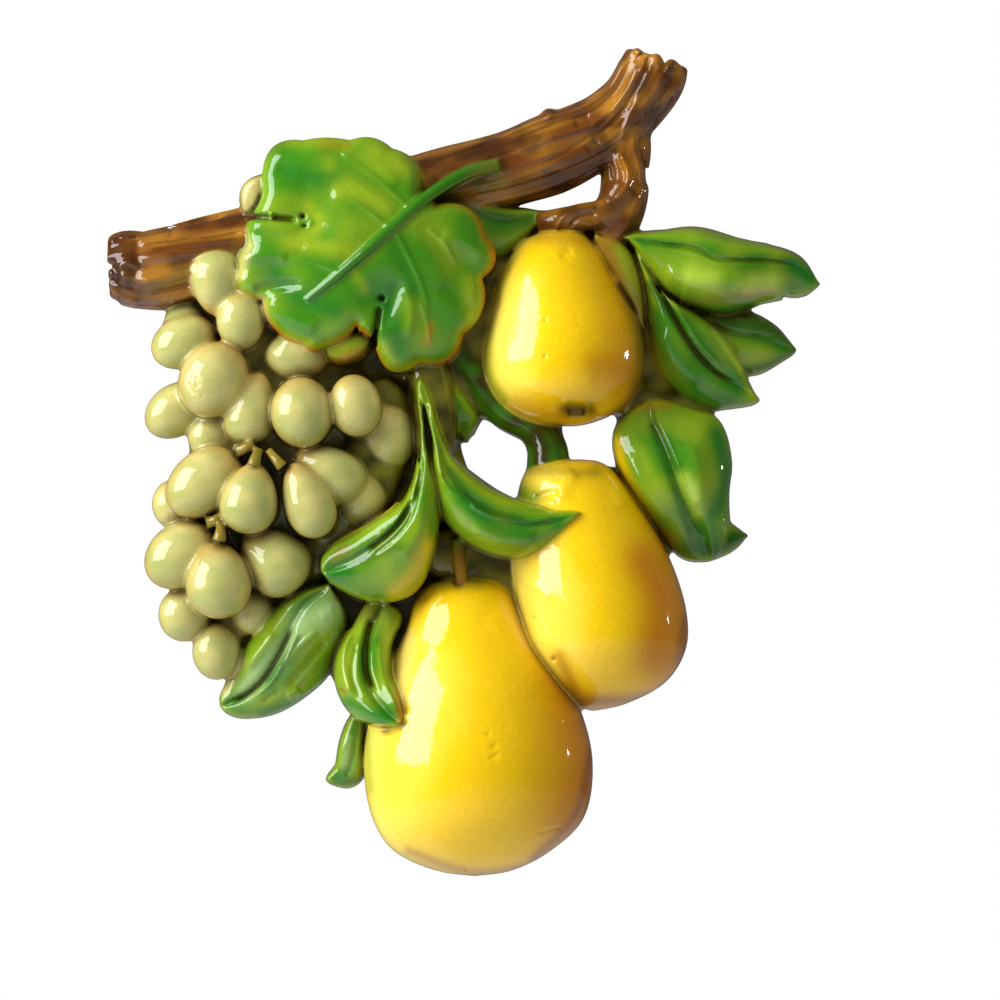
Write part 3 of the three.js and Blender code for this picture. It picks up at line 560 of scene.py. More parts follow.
# %% How a sheet is poured
SHEET_FILLET = 1.2
STEEPEST = 2.5


def add_sheet(name, kind, outlines, face, rim, fillet=SHEET_FILLET, **more):
    """Outlines are a closed line and its holes. Face gives the height over x and z."""
    corners = np.vstack(outlines[:1])
    box_x = (corners[:, 0].min(), corners[:, 0].max())
    box_z = (corners[:, 1].min(), corners[:, 1].max())
    x = xs[reach(xs, *box_x)][:, None]
    z = zs[reach(zs, *box_z)][None, :]
    edge = outside_of(outlines[0], x, z)
    for hole in outlines[1:]:
        edge = np.maximum(edge, -outside_of(hole, x, z))
    height = face(x, z)
    slope = np.hypot(*np.gradient(height, STEP))
    lean = np.sqrt(1 + np.minimum(slope, STEEPEST) ** 2)
    first = (x[0, 0], z[0, 0])

    def near(x, d, z):
        out = read_map(edge, first, STEP, x, z)
        above = (d - read_map(height, first, STEP, x, z)) / read_map(lean, first, STEP, x, z)
        return rounded_most(out, above, rim)

    box = (box_x, (0, min(float(height[edge < 1].max()) + 1, high_depth)), box_z)
    maps = {"edge": edge, "height": height, "first": first}
    add_form(name, kind, box, fillet, near, maps=maps, **more)


# %% The backing
BACKING = {
    "outline": [
        (-91.5, -43), (-96.5, -63.5), (-93, -76), (-94, -98), (-98.5, -129), (-101.5, -153),
        (-92, -171.5), (-86, -180.5), (-72, -195), (-54, -189.5), (-43.5, -183), (-35, -198.5),
        (-24.5, -215), (-17, -237), (8.5, -250), (34, -237), (45, -215), (47, -198.5), (67, -189.5),
        (80, -171.5), (78, -146), (84, -137), (98, -137), (100, -112.5), (96, -90), (97, -86),
        (108, -80), (104, -70), (121, -65), (114.5, -54), (108, -46), (125.5, -41.5),
        (114.5, -29), (74.5, -23), (66, -18), (41.5, -20), (19.5, -13), (-2.5, -1), (-39, -17.5),
        (-68.5, -26.5),
    ],
    "gaps": [
        [
            (13, -88.5), (30.5, -98.5), (32, -105.5), (25.5, -120.5),
            (18, -116), (7.5, -108.5), (4.5, -99.5), (10, -96),
        ],
        [(42, -90), (63, -87), (62, -108), (43, -105)],
    ],
    "depth": 12,
}


def add_backing():
    outlines = [np.array(line, float) for line in [BACKING["outline"], *BACKING["gaps"]]]

    def face(x, z):
        return np.full(np.broadcast(x, z).shape, BACKING["depth"], float)

    add_sheet("backing", "backing", outlines, face, rim=3.0)


add_backing()
print("the backing is", BACKING["depth"], "mm deep")

# %% [markdown]
# ## Leaves and mounds
# A leaf has a midrib, a half width on each side of it, and a face that rises from its rim to a
# crown. Low mounds of the same kind fill in behind the fruit, where the plaster is only ground.
# A leaf could be sculpted by hand, but a midrib and two widths say the same with few numbers.

# %% How a leaf is drawn
END_SQUARENESS = 8
LEAST_HALF_WIDTH = 0.6
MIDRIB_SHARE = 0.16


def leaf_sides(form):
    line = even_line(form["midrib"])
    t = np.linspace(0, 1, len(line))
    rounding = np.sqrt(np.maximum(0, 1 - np.abs(2 * t - 1) ** END_SQUARENESS))
    widths = []
    for side in ("left", "right"):
        widths.append(np.maximum(LEAST_HALF_WIDTH, rounding * graded(form[side])(t)))
    return line, t, widths


def leaf_outline(line, widths):
    ahead = np.gradient(line[:, :2], axis=0)
    ahead /= np.linalg.norm(ahead, axis=1)[:, None]
    leftward = np.column_stack([-ahead[:, 1], ahead[:, 0]])
    left = line[:, :2] + leftward * widths[0][:, None]
    right = line[:, :2] - leftward * widths[1][:, None]
    return np.vstack([left, right[::-1]])[::2]


def leaf_face(form, line, t, widths):
    """The height of a leaf, from how far along and how far across it a place lies."""
    low, high = graded(form["rim"]), graded(form["crown"])
    groove, step = form.get("groove", 0), form.get("step", 0)

    def face(x, z):
        share, left, past = beside(line, x, z)
        half = np.where(left > 0, np.interp(share, t, widths[0]), np.interp(share, t, widths[1]))
        s = np.clip(left / half, -1, 1)
        rounding = np.sqrt(np.maximum(0, 1 - np.abs(2 * share - 1) ** END_SQUARENESS))
        dome = (1 - np.abs(s) ** 3) ** 0.7
        stepped = 0.5 * step * np.tanh(left / 1.6) * (1 - np.abs(s))
        pressed = groove * (0.45 * np.exp(-((s / MIDRIB_SHARE) ** 2)) + 0.2 * np.exp(-((left / 1.3) ** 2)))
        end = np.exp(-((np.maximum(past, 0) / 2.0) ** 2))
        return low(share) + (high(share) - low(share)) * dome * end + rounding * (stepped - pressed)

    return face


def add_leaf(name, kind, form, rim, fillet=SHEET_FILLET):
    line, t, widths = leaf_sides(form)
    outline = leaf_outline(line, widths)
    face = leaf_face(form, line, t, widths)
    add_sheet(name, kind, [outline], face, rim, fillet, line=line, widths=widths)


# %% The mounds under the fruit and leaves
MOUNDS = {
    "underGrapes": {
        "midrib": [(-72, -40), (-70, -80), (-72, -120), (-76, -172)],
        "left": [20, 40, 36, 24, 8],
        "right": [10, 18, 20, 20, 12],
        "rim": (12, 12, 10),
        "crown": (20, 22, 16),
    },
    "besideGrapes": {
        "midrib": [(-22, -75), (-27, -105), (-36, -125), (-56, -152)],
        "left": [10, 12, 12, 10, 8],
        "right": [10, 12, 12, 10, 8],
        "rim": (16, 18, 14),
        "crown": (22, 25, 18),
    },
    "underCentreLeaves": {
        "midrib": [(-8, -66), (-5, -88), (-4, -112)],
        "left": [8, 9, 9, 8, 5],
        "right": [8, 8, 8, 8, 5],
        "rim": (18, 20, 20),
        "crown": (26, 27, 27),
    },
    "overLowerPear": {
        "midrib": [(-10, -137), (5, -140), (20, -147), (30, -167)],
        "left": [8, 10, 10, 8, 6],
        "right": [10, 12, 12, 10, 8],
        "rim": (18, 18, 18),
        "crown": (24, 24, 22),
    },
    "underUpperPear": {
        "midrib": [(52, -74), (64, -82), (76, -86), (98, -88)],
        "left": [6, 8, 8, 7, 4],
        "right": [5, 7, 7, 6, 4],
        "rim": (14, 14, 12),
        "crown": (18, 19, 15),
    },
    "besideUpperPear": {
        "midrib": [(12, -40), (9, -58), (8, -74), (16, -90)],
        "left": [10, 13, 12, 10, 6],
        "right": [10, 12, 12, 8, 4],
        "rim": (12, 12, 12),
        "crown": (16, 17, 16),
    },
    "vineLeafUnderLobe": {
        "midrib": [(-46, -63), (-38, -65), (-28, -61)],
        "left": [3, 5, 6, 6, 4],
        "right": [2, 5, 6, 5, 3],
        "rim": (27, 28, 28),
        "crown": (30, 33, 32),
    },
    "vineLeafBackLobe": {
        "midrib": [(-67, -1), (-71, -8), (-74, -15)],
        "left": [3, 4, 4, 4, 3],
        "right": [2, 4, 5, 4, 2],
        "rim": (26, 26, 26),
        "crown": (30, 30, 29),
    },
}
for name, mound in MOUNDS.items():
    add_leaf(name, "mound", mound, rim=3.0, fillet=3.0)
print(len(MOUNDS), "mounds")

# %% The leaves
LEAVES = {
    "upperRight": {
        "midrib": [(65, -24), (78, -26.5), (90, -27.5), (103, -32), (117, -33), (128, -34), (137, -41)],
        "left": [4, 7, 9.5, 6.5, 1],
        "right": [1, 19.5, 20.5, 14, 13],
        "rim": (16, 17, 12),
        "crown": (24, 31, 18),
        "groove": 1.5,
        "step": -1.5,
    },
    "middleRight": {
        "midrib": [
            (69, -28.5), (78, -43), (84, -54), (90, -64.5),
            (97.5, -72.5), (107, -78.5), (115, -83.5),
        ],
        "left": [1.5, 1, 11, 10.5, 1],
        "right": [1.5, 6, 13.5, 15, 5.5],
        "rim": (17, 14, 10),
        "crown": (23, 27, 15),
        "groove": 2.5,
        "step": -2,
    },
    "behindRight": {
        "midrib": [(89, -52), (103.5, -58), (116.5, -61), (128.5, -65)],
        "left": [1.5, 6, 9, 6.5, 1.5],
        "right": [1, 9.5, 14.5, 13, 4],
        "rim": (8, 8, 6),
        "crown": (14, 16, 10),
        "groove": 1.2,
        "step": 0,
    },
    "hanging": {
        "midrib": [
            (73.5, -83.5), (77.5, -94.5), (82.5, -105.5),
            (88, -118), (93.5, -130.5), (96.5, -142.5),
        ],
        "left": [9, 21.5, 20.5, 12.5, 7.5],
        "right": [15.5, 19, 18.5, 15, 13],
        "rim": (17, 17, 12),
        "crown": (22, 31, 18),
        "groove": 1.5,
        "step": 3,
    },
    "hangingTip": {
        "midrib": [(91, -134), (101.5, -134.5), (110.5, -133)],
        "left": [6, 7, 9, 5.5, 1],
        "right": [9, 8, 6.5, 4, 1],
        "rim": (12, 11, 11),
        "crown": (18, 15, 15),
        "groove": 0,
        "step": 0,
    },
    "centreRight": {
        "midrib": [
            (-10, -75.5), (-4.5, -94.5), (0.5, -109), (10, -121),
            (25, -128), (37.5, -128.5), (49, -125),
        ],
        "left": [3, 2.5, 7.5, 8, 3.5],
        "right": [3.5, 2.5, 12, 13, 1.5],
        "rim": (27, 34, 39),
        "crown": (32, 46, 44),
        "groove": 1.5,
        "step": -2,
    },
    "centreLeft": {
        "midrib": [
            (-11, -77.5), (-8.5, -94.5), (-9, -107), (-13, -122),
            (-22.5, -133), (-33, -141), (-46, -146.5),
        ],
        "left": [2, 1, 11, 23, 9.5],
        "right": [1.5, 2, 3.5, 7.5, 9],
        "rim": (27, 36, 30),
        "crown": (32, 46, 36),
        "groove": 2.5,
        "step": 1.5,
    },
    "lowerLeft": {
        "midrib": [
            (-43, -150.5), (-52.5, -158.5), (-57.5, -167), (-62, -177),
            (-68.5, -186.5), (-76.5, -193), (-83.5, -196),
        ],
        "left": [19.5, 21, 20, 13.5, 6],
        "right": [1.5, 8, 12, 12.5, 7],
        "rim": (18, 14, 8),
        "crown": (28, 27, 13),
        "groove": 3,
        "step": 1,
    },
    "besidePear": {
        "midrib": [
            (-23.5, -156.5), (-28, -169.5), (-29.5, -179.5),
            (-28, -189), (-23, -196), (-16.5, -202),
        ],
        "left": [11.5, 9, 9.5, 9.5, 6.5],
        "right": [6.5, 7.5, 12, 10.5, 3.5],
        "rim": (22, 27, 40),
        "crown": (26, 38, 48),
        "groove": 3,
        "step": 0,
    },
    "belowLeft": {
        "midrib": [(-32.5, -195), (-35, -209.5), (-37.5, -219), (-44.5, -223.5)],
        "left": [3.5, 4, 5.5, 7.5, 3],
        "right": [1, 4, 5, 4.5, 2.5],
        "rim": (9, 9, 6),
        "crown": (14, 15, 9),
        "groove": 0,
        "step": 0,
    },
    "belowBranch": {
        "midrib": [(1, -9.5), (19.5, -17.5), (30.5, -16), (37.5, -14.5)],
        "left": [1, 4, 6, 4, 1],
        "right": [3.5, 10, 14, 7.5, 1],
        "rim": (16, 14, 14),
        "crown": (22, 19, 17),
        "groove": 1,
        "step": 0,
    },
    "besideGap": {
        "midrib": [(-2.5, -74.5), (3, -85.5), (7.5, -99)],
        "left": [2, 4, 6, 7, 0.5],
        "right": [2, 4.5, 5.5, 4, 1.5],
        "rim": (14, 14, 12),
        "crown": (18, 20, 15),
        "groove": 0,
        "step": 0,
    },
    "foldedStrip": {
        "midrib": [(54.5, -22), (64, -35), (72.5, -58)],
        "left": [1, 6, 5.5, 3.5, 1],
        "right": [4, 5, 5, 2, 1],
        "rim": (17, 17, 14),
        "crown": (22, 24, 18),
        "groove": 0,
        "step": 0,
    },
}
for name, form in LEAVES.items():
    add_leaf(name, "leaf", form, rim=1.4)
print(len(LEAVES), "leaves")

# %% [markdown]
# ## The vine leaf
# It is the broad sheet at the front, with scallops round its edge, a raised midrib that runs on
# into the leaf stalk, raised side veins, and two slits.

# %% The vine leaf
VINE_LEAF = {
    "corners": [
        (-9.5, -7.5, 4.5), (-20, 8.5, 2.5), (-35.5, 11.5, 1), (-52.5, 11.5, 5), (-67.5, 0, 0),
        (-67.5, -7.5, -1), (-73, -17, 0), (-73, -27, 1.5), (-76, -35, 3.5), (-71.5, -46, 0),
        (-67.5, -47, 0.8), (-64.5, -56, 1.2), (-52.5, -63.5, 2), (-44.5, -64, 1.5), (-33, -56.5, 0.5),
        (-28, -60.5, 0), (-26, -65, 6), (-10, -70, 5), (6, -59.5, 4), (13, -39, 4.5),
        (14, -24, 5.5), (-4, -12, 0),
    ],
    "centre": (-29, -27),
    "reach": 44,
    "crown": 42,
    "drop": 8,
    "hollows": [
        {"at": (-50, -18), "deep": 3, "radius": 9},
        {"at": (-63, -42), "deep": 2.5, "radius": 8},
        {"at": (-23.5, -46), "deep": 3, "radius": 9},
        {"at": (8, -36), "deep": 2, "radius": 8},
    ],
    "roll": 2.5,
}
VEINS = [
    [(-14, -13), (-24.5, -3.5), (-37.5, 6)],
    [(-21.5, -20), (-35, -10.5), (-50, -5.5)],
    [(-41, -36), (-50, -33), (-59.5, -32.5)],
    [(-18, -23), (-9, -42), (-7, -52.5)],
    [(-6, -21.5), (-1, -26), (3, -33)],
]
POINTS_PER_SCALLOP = 8
VEIN_HEIGHT, VEIN_WIDTH = 0.8, 0.9
PILLOW_HEIGHT, PILLOW_WIDTH = 1.1, 6


def vine_outline():
    outline = []
    corners = VINE_LEAF["corners"]
    for (x, z, swell), (next_x, next_z, _) in zip(corners, corners[1:] + corners[:1]):
        start, end = np.array([x, z], float), np.array([next_x, next_z], float)
        outward = np.array([next_z - z, x - next_x]) / np.linalg.norm(end - start)
        pull = (start + end) / 2 + outward * 2 * swell
        for u in np.arange(POINTS_PER_SCALLOP) / POINTS_PER_SCALLOP:
            outline.append((1 - u) ** 2 * start + 2 * u * (1 - u) * pull + u**2 * end)
    return np.array(outline)


def vine_face(outline):
    cx, cz = VINE_LEAF["centre"]

    def face(x, z):
        spread = (x - cx) ** 2 + (z - cz) ** 2
        dome = VINE_LEAF["crown"] - VINE_LEAF["drop"] * spread / VINE_LEAF["reach"] ** 2
        for hollow in VINE_LEAF["hollows"]:
            hx, hz = hollow["at"]
            away = ((x - hx) ** 2 + (z - hz) ** 2) / hollow["radius"] ** 2
            dome = dome - hollow["deep"] * np.exp(-away)
        edge = outside_of(outline, x, z)
        dome = dome - VINE_LEAF["roll"] * np.exp(-((np.minimum(edge, 0) / 2.5) ** 2))
        between = np.full(dome.shape, np.inf)
        for vein in [*VEINS, [point[:2] for point in LIMBS["vineStem"]["path"]]]:
            line = even_line(vein)
            share, left, past = beside(line, x, z)
            away = np.hypot(left, np.maximum(past, 0))
            between = np.minimum(between, away)
            dome = dome + VEIN_HEIGHT * (1 - 0.5 * share) * np.exp(-((away / VEIN_WIDTH) ** 2))
        return dome + PILLOW_HEIGHT * (1 - np.exp(-((between / PILLOW_WIDTH) ** 2)))

    return face


# %% [markdown]
# ## Limbs: the branch and stems
# A limb is a line through space with a thickness. Bark is drawn as grooves that run along it and
# wander a little from side to side.

# %% The limbs
LIMBS = {
    "branch": {
        "path": [
            (-124.3, -34.3, 11, 10.9), (-119.0, -34.2, 12, 13.3), (-112.0, -35.5, 12, 14.4),
            (-103.0, -35.0, 12, 15.2), (-90.5, -31.5, 12, 15.0), (-43.0, -18.5, 12, 14.0),
            (-6.0, -5.5, 12, 13.5), (24.0, 2.0, 12, 14.0), (37.5, 6.8, 12, 15.0),
            (48.5, 11.5, 12, 14.0), (59.0, 17.5, 12, 13.0), (68.5, 26.0, 13, 12.5),
            (74.8, 35.5, 14, 12.9), (77.2, 42.3, 14, 11.8),
        ],
        "grooves": 5,
        "bark": 1.2,
    },
    "fork": {
        "path": [
            (64, 22, 12, 9), (65.3, 12, 13, 9), (65.3, 2, 14, 8.8), (64.7, -9, 14, 9),
            (61.5, -18, 14, 9), (57, -24, 13, 8),
        ],
        "grooves": 3,
        "bark": 0.9,
    },
    "hook": {
        "path": [
            (66, -5, 18, 6), (58, -14.5, 19, 5.5), (49, -16.5, 20, 5),
            (41, -17.5, 19, 4.5), (33, -18.5, 15, 4),
        ],
        "grooves": 0,
        "bark": 0,
    },
    "pearStem": {
        "path": [
            (2, -58, 12, 5), (9, -72, 13, 6), (20.5, -87.5, 14, 6), (32, -94, 15, 6.5),
            (36.5, -101, 16, 7.5), (37, -112, 16, 8),
        ],
        "grooves": 2,
        "bark": 0.6,
    },
    "lowerStem": {
        "path": [(4, -134, 26, 2.6), (4.5, -142, 27, 2.1), (5.5, -151, 27, 2.3)],
        "grooves": 0,
        "bark": 0,
    },
    "vineStem": {
        "path": [
            (19, 2.5, 26, 2.2), (8.5, 0, 31, 2.2), (-6, -8.5, 38.5, 2.2), (-18, -19, 41.5, 2.0),
            (-32, -31.5, 42.5, 1.7), (-42, -40, 41, 1.3), (-51, -47, 38.5, 0.7),
        ],
        "grooves": 0,
        "bark": 0,
    },
}
LIMB_KINDS = {"lowerStem": "stem", "pearStem": "stem", "vineStem": "vine leaf"}
LIMB_RIM = 1.5
BEDDING = 1.8


def add_limb(name, kind, form, fillet=1.5):
    line = even_line(form["path"], 240)
    long = length_of(line)
    t = np.linspace(0, 1, len(line))
    rim = min(LIMB_RIM, 0.4 * float(line[:, 3].min()))

    def near(x, d, z):
        share, left, past = beside(line, x, z)
        depth, radius = np.interp(share, t, line[:, 2]), np.interp(share, t, line[:, 3])
        lift = d - depth
        lift = np.where(lift > 0, lift, lift * radius / (depth * BEDDING))
        round_ = np.hypot(left, lift)
        if form["grooves"]:
            turn = np.arctan2(np.maximum(lift, 0), left)
            radius = radius - form["bark"] * bark(form["grooves"], share * long, turn)
        return rounded_most(round_ - radius, past + 0 * round_, rim)

    widest = line[:, 3].max()
    box = (
        (line[:, 0].min() - widest, line[:, 0].max() + widest),
        (0, (line[:, 2] + line[:, 3]).max()),
        (line[:, 1].min() - widest, line[:, 1].max() + widest),
    )
    add_form(name, kind, box, fillet, near)


def bark(grooves, along, turn):
    """How deep the bark is cut, from 0 to 1, along a limb and round it."""
    wander = 0.35 * np.sin(along / 11) + 0.2 * np.sin(along / 5.3 + 1)
    phase = 2 * grooves * turn + wander
    return 0.5 - 0.5 * np.cos(phase) ** 3


OUTLINE = vine_outline()
add_sheet("vineLeaf", "vine leaf", [OUTLINE], vine_face(OUTLINE), rim=1.8, fillet=1.5)
for name, form in LIMBS.items():
    add_limb(name, LIMB_KINDS.get(name, "branch"), form)
print(len(LIMBS), "limbs")

# %% [markdown]
# ## Turned forms: pears and grapes
# Fruit is turned: round in section, with a profile along its length. The profile is drawn once
# in a plane, the distance from it is worked out there, and it is swung round into space.

# %% How fruit is poured
PROFILE_STEP = 0.5


def turned_profile(profile):
    """A map of the distance from a profile, given as rows of how far along and how far out."""
    closed = np.vstack([profile, profile[::-1] * (1, -1)])
    low, high = closed.min(0) - MARGIN - 2, closed.max(0) + MARGIN + 2
    along = np.arange(low[0], high[0], PROFILE_STEP)
    out = np.arange(-1.0, high[1], PROFILE_STEP)
    return outside_of(closed, along[:, None], out[None, :]), (along[0], out[0])


# %% [markdown]
# ## Pears
# A pear is round across but leans, so each of its level rings has a middle of its own. Behind its
# widest plane it is drawn out to bed it in the casting. Two of the three swell a little in front.

# %% The pears
PEARS = {
    "upper": {
        "rings": [
            (-21.0, 43.0, 0), (-22.0, 42.0, 8.0), (-25.0, 40.5, 12.5), (-30.0, 40.0, 16.5),
            (-37.5, 40.0, 20.5), (-55.0, 43.0, 27.5), (-67.0, 43.0, 29.5), (-78.0, 43.0, 27.5),
            (-86.5, 43.0, 21.0), (-91.5, 43.0, 11.0), (-93.0, 42.5, 0),
        ],
        "middle": 16,
        "swell": 1.08,
    },
    "right": {
        "rings": [
            (-105.0, 49.0, 0), (-106.0, 46.5, 9.5), (-109.0, 45.0, 15.5), (-122.0, 48.0, 23.0),
            (-142.0, 52.5, 29.5), (-162.0, 56.5, 31.5), (-175.0, 57.5, 30.0), (-187.0, 57.5, 22.5),
            (-195.0, 55.0, 10.0), (-197.5, 53.5, 0),
        ],
        "middle": 15,
        "swell": 1.08,
    },
    "lower": {
        "rings": [
            (-148.5, 7.5, 0), (-149.5, 7.5, 10.0), (-153.0, 7.0, 16.5), (-169.5, 8.5, 25.0),
            (-193.0, 10.4, 37.0), (-216.0, 11.4, 42.0), (-237.0, 11.3, 38.6), (-249.0, 9.2, 28.3),
            (-256.0, 9.8, 13.5), (-258.0, 10.0, 0),
        ],
        "middle": 16,
        "swell": 1.0,
    },
}


def add_pear(name, form):
    curve = bent_line([(x, half, z) for z, x, half in form["rings"]], 3)
    profile, first = turned_profile(curve[:, [2, 1]])
    heights, middles = curve[::-1, 2], curve[::-1, 0]
    widest = curve[:, 1].max()
    back_half = form["middle"] * BEDDING / widest

    def near(x, d, z):
        lift = d - form["middle"]
        lift = np.where(lift > 0, lift / form["swell"], lift / back_half)
        out = np.hypot(x - np.interp(z, heights, middles), lift)
        return read_map(profile, first, PROFILE_STEP, z + 0 * out, out)

    box = (
        ((curve[:, 0] - curve[:, 1]).min(), (curve[:, 0] + curve[:, 1]).max()),
        (0, form["middle"] + form["swell"] * widest),
        (curve[:, 2].min(), curve[:, 2].max()),
    )
    add_form(name, "pear", box, 1.5, near)


for name, form in PEARS.items():
    add_pear(name + "Pear", form)
print(len(PEARS), "pears")

# %% [markdown]
# ## Grapes and their stalks
# A grape is an egg lying on its side in the plane of the plaque, and some are slimmer at the stem
# end. Each is a row of a table, since they differ only in numbers. Short stalks join some of them.

# %% The grapes
# Each grape: the middle in x and z, half its length and half its width, the direction of its stem
# end in degrees, the depth of its front, and how much slimmer the stem end is.
GRAPES = [
    (-84.5, -40.5, 12.0, 9.5, 270, 32, 0.25),
    (-75.5, -54.0, 11.0, 9.0, 90, 34, 0),
    (-96.5, -62.0, 12.5, 9.5, 25, 28, 0),
    (-96.5, -55.0, 7.5, 7.5, 0, 20, 0),
    (-85.5, -76.0, 14.5, 12.5, 60, 38, 0),
    (-99.5, -87.0, 12.5, 9.5, 35, 22, 0),
    (-71.5, -86.5, 13.5, 9.0, 75, 34, 0.3),
    (-55.0, -67.0, 11.5, 9.0, 0, 32, 0),
    (-53.0, -88.0, 13.0, 11.5, 95, 44, 0),
    (-33.5, -85.5, 11.5, 9.5, 100, 42, 0),
    (-21.5, -96.5, 12.0, 9.5, 100, 28, 0),
    (-42.5, -110.0, 14.0, 9.5, 150, 36, 0.2),
    (-72.0, -119.5, 13.0, 10.5, 80, 45, 0.2),
    (-51.0, -120.0, 14.5, 9.0, 112, 43, 0.25),
    (-31.0, -120.0, 9.5, 8.0, 90, 30, 0),
    (-89.0, -113.5, 15.5, 11.5, 40, 37, 0),
    (-86.8, -96.5, 8.5, 8.5, 0, 24, 0),
    (-100.5, -121.5, 9.0, 8.0, 90, 18, 0),
    (-97.5, -140.0, 14.5, 11.5, 38, 33, 0),
    (-83.5, -149.5, 14.0, 12.0, 92, 42, 0.15),
    (-63.5, -142.0, 14.0, 11.5, 140, 36, 0.3),
    (-96.5, -162.0, 10.0, 9.5, 90, 24, 0),
    (-84.5, -175.5, 10.5, 9.0, 90, 24, 0),
    (-71.0, -161.5, 8.0, 7.5, 90, 24, 0),
]


def add_grape(name, x0, z0, long, wide, lean, top, taper):
    t = np.linspace(0, np.pi, 40)
    profile = np.column_stack([long * np.cos(t), wide * np.sin(t) * (1 - taper * np.cos(t))])
    turned, first = turned_profile(profile)
    stem = (np.cos(np.radians(lean)), np.sin(np.radians(lean)))
    middle = top - wide
    back_half = middle * BEDDING / wide

    def near(x, d, z):
        along = (x - x0) * stem[0] + (z - z0) * stem[1]
        across = (z - z0) * stem[0] - (x - x0) * stem[1]
        lift = np.where(d > middle, d - middle, (d - middle) / back_half)
        out = np.hypot(across, lift)
        return read_map(turned, first, PROFILE_STEP, along + 0 * out, out)

    box = ((x0 - long, x0 + long), (0, top), (z0 - long, z0 + long))
    add_form(name, "grape", box, 2.2, near, at=(x0, z0), stem=stem, long=long)


for number, row in enumerate(GRAPES):
    add_grape("grape%02d" % number, *row)
print(len(GRAPES), "grapes")

# %% The stalks between the grapes
STALKS = [
    [(-77, -102.5, 29, 2.2), (-73.5, -101, 31, 1.8), (-70.5, -99.5, 30, 2.3)],
    [(-68.5, -101, 32, 1.6), (-69.5, -104, 37, 1.9), (-70.5, -107.5, 38, 2.6)],
    [(-65.5, -101.5, 32, 1.5), (-63, -104.5, 36, 1.7), (-60, -108, 37, 2.3)],
    [(-88, -128.5, 28, 2.4), (-85, -127.5, 31, 1.9), (-82, -126, 30, 2.2)],
    [(-82, -127.5, 31, 1.7), (-82.5, -131, 36, 1.9), (-83, -135, 37, 2.6)],
]
for number, path in enumerate(STALKS):
    add_limb("stalk%d" % number, "stalk", {"path": path, "grooves": 0, "bark": 0}, fillet=1.2)
print(len(STALKS), "stalks")

# %% [markdown]
# ## The back
# Plaster poured into an open mould settles level, so the back is one plane. A shallow round seat
# behind the branch takes the head of a nail. Both are cuts, made once all the forms are poured.

# %% The flat back and the nail seat
NAIL_SEAT = {"below": 10, "radius": 5, "depth": 3.4}
SEAT_EDGE = 0.4
block = np.maximum(block, -depths[None, :, None])


def seat(x, d, z):
    round_ = np.hypot(x, z + NAIL_SEAT["below"]) - NAIL_SEAT["radius"]
    return np.maximum(round_, d - NAIL_SEAT["depth"])


r, below = NAIL_SEAT["radius"], NAIL_SEAT["below"]
cut(((-r, r), (-1, NAIL_SEAT["depth"]), (-r - below, r - below)), seat, SEAT_EDGE)
print("poured", len(forms), "forms")


# %% [markdown]
# ## A skin over the block
# A point goes into each cell that the surface passes through, at the middle of the places where
# it crosses the cell's edges, and the points of four neighbouring cells make a face. Blender's
# Decimate modifier then takes away points where the surface is flat or only gently curved.

# %% Finding the skin
TRIANGLE_LIMIT = 198_000


def crossing_points(block):
    """The cells that the surface passes through, and the point in each."""
    inside = block < 0
    corner = [
        inside[i : i - 1 or None, j : j - 1 or None, k : k - 1 or None]
        for i in (0, 1) for j in (0, 1) for k in (0, 1)
    ]
    some = np.logical_or.reduce(corner)
    every = np.logical_and.reduce(corner)
    cells = np.argwhere(some & ~every)
    total = np.zeros(cells.shape)
    count = np.zeros(len(cells))
    for axis in range(3):
        others = [a for a in range(3) if a != axis]
        for u in (0, 1):
            for v in (0, 1):
                start = cells.copy()
                start[:, others[0]] += u
                start[:, others[1]] += v
                end = start.copy()
                end[:, axis] += 1
                a, b = block[tuple(start.T)], block[tuple(end.T)]
                crossed = (a < 0) != (b < 0)
                share = np.where(crossed, a / np.where(crossed, a - b, 1), 0)
                place = start.astype(float)
                place[:, axis] += share
                total += place * crossed[:, None]
                count += crossed
    return cells, total / count[:, None]


def faces_between(block, cells):
    """Four cells round every edge that the surface crosses, turned to face outward."""
    number = np.full(block.shape, -1, np.int32)
    number[tuple(cells.T)] = np.arange(len(cells))
    inside = block < 0
    faces = []
    for axis in range(3):
        u, v = [a for a in range(3) if a != axis]
        here = np.take(inside, range(inside.shape[axis] - 1), axis)
        there = np.take(inside, range(1, inside.shape[axis]), axis)
        edges = np.argwhere(here != there)
        edges = edges[(edges[:, u] > 0) & (edges[:, v] > 0)]
        leaving = inside[tuple(edges.T)]
        ring = []
        for du, dv in ((0, 0), (-1, 0), (-1, -1), (0, -1)):
            cell = edges.copy()
            cell[:, u] += du
            cell[:, v] += dv
            ring.append(number[tuple(cell.T)])
        ring = np.array(ring).T
        turn = ~leaving if axis == 1 else leaving
        ring[turn] = ring[turn][:, ::-1]
        faces.append(ring)
    return np.vstack(faces)


cells, points = crossing_points(block)
quads = faces_between(block, cells)
print(len(points), "points and", len(quads), "faces of four")


# %% Making the mesh
def in_millimetres(points):
    """From places in the block to x, depth and z."""
    return np.array([xs[0], depths[0], zs[0]]) + points * STEP


def make_mesh(name, places, quads):
    mesh = bpy.data.meshes.new(name)
    mesh.vertices.add(len(places))
    mesh.vertices.foreach_set("co", places.astype(np.float32).ravel())
    mesh.loops.add(4 * len(quads))
    mesh.loops.foreach_set("vertex_index", quads.astype(np.int32).ravel())
    mesh.polygons.add(len(quads))
    mesh.polygons.foreach_set("loop_start", np.arange(0, 4 * len(quads), 4, dtype=np.int32))
    mesh.update(calc_edges=True)
    return mesh


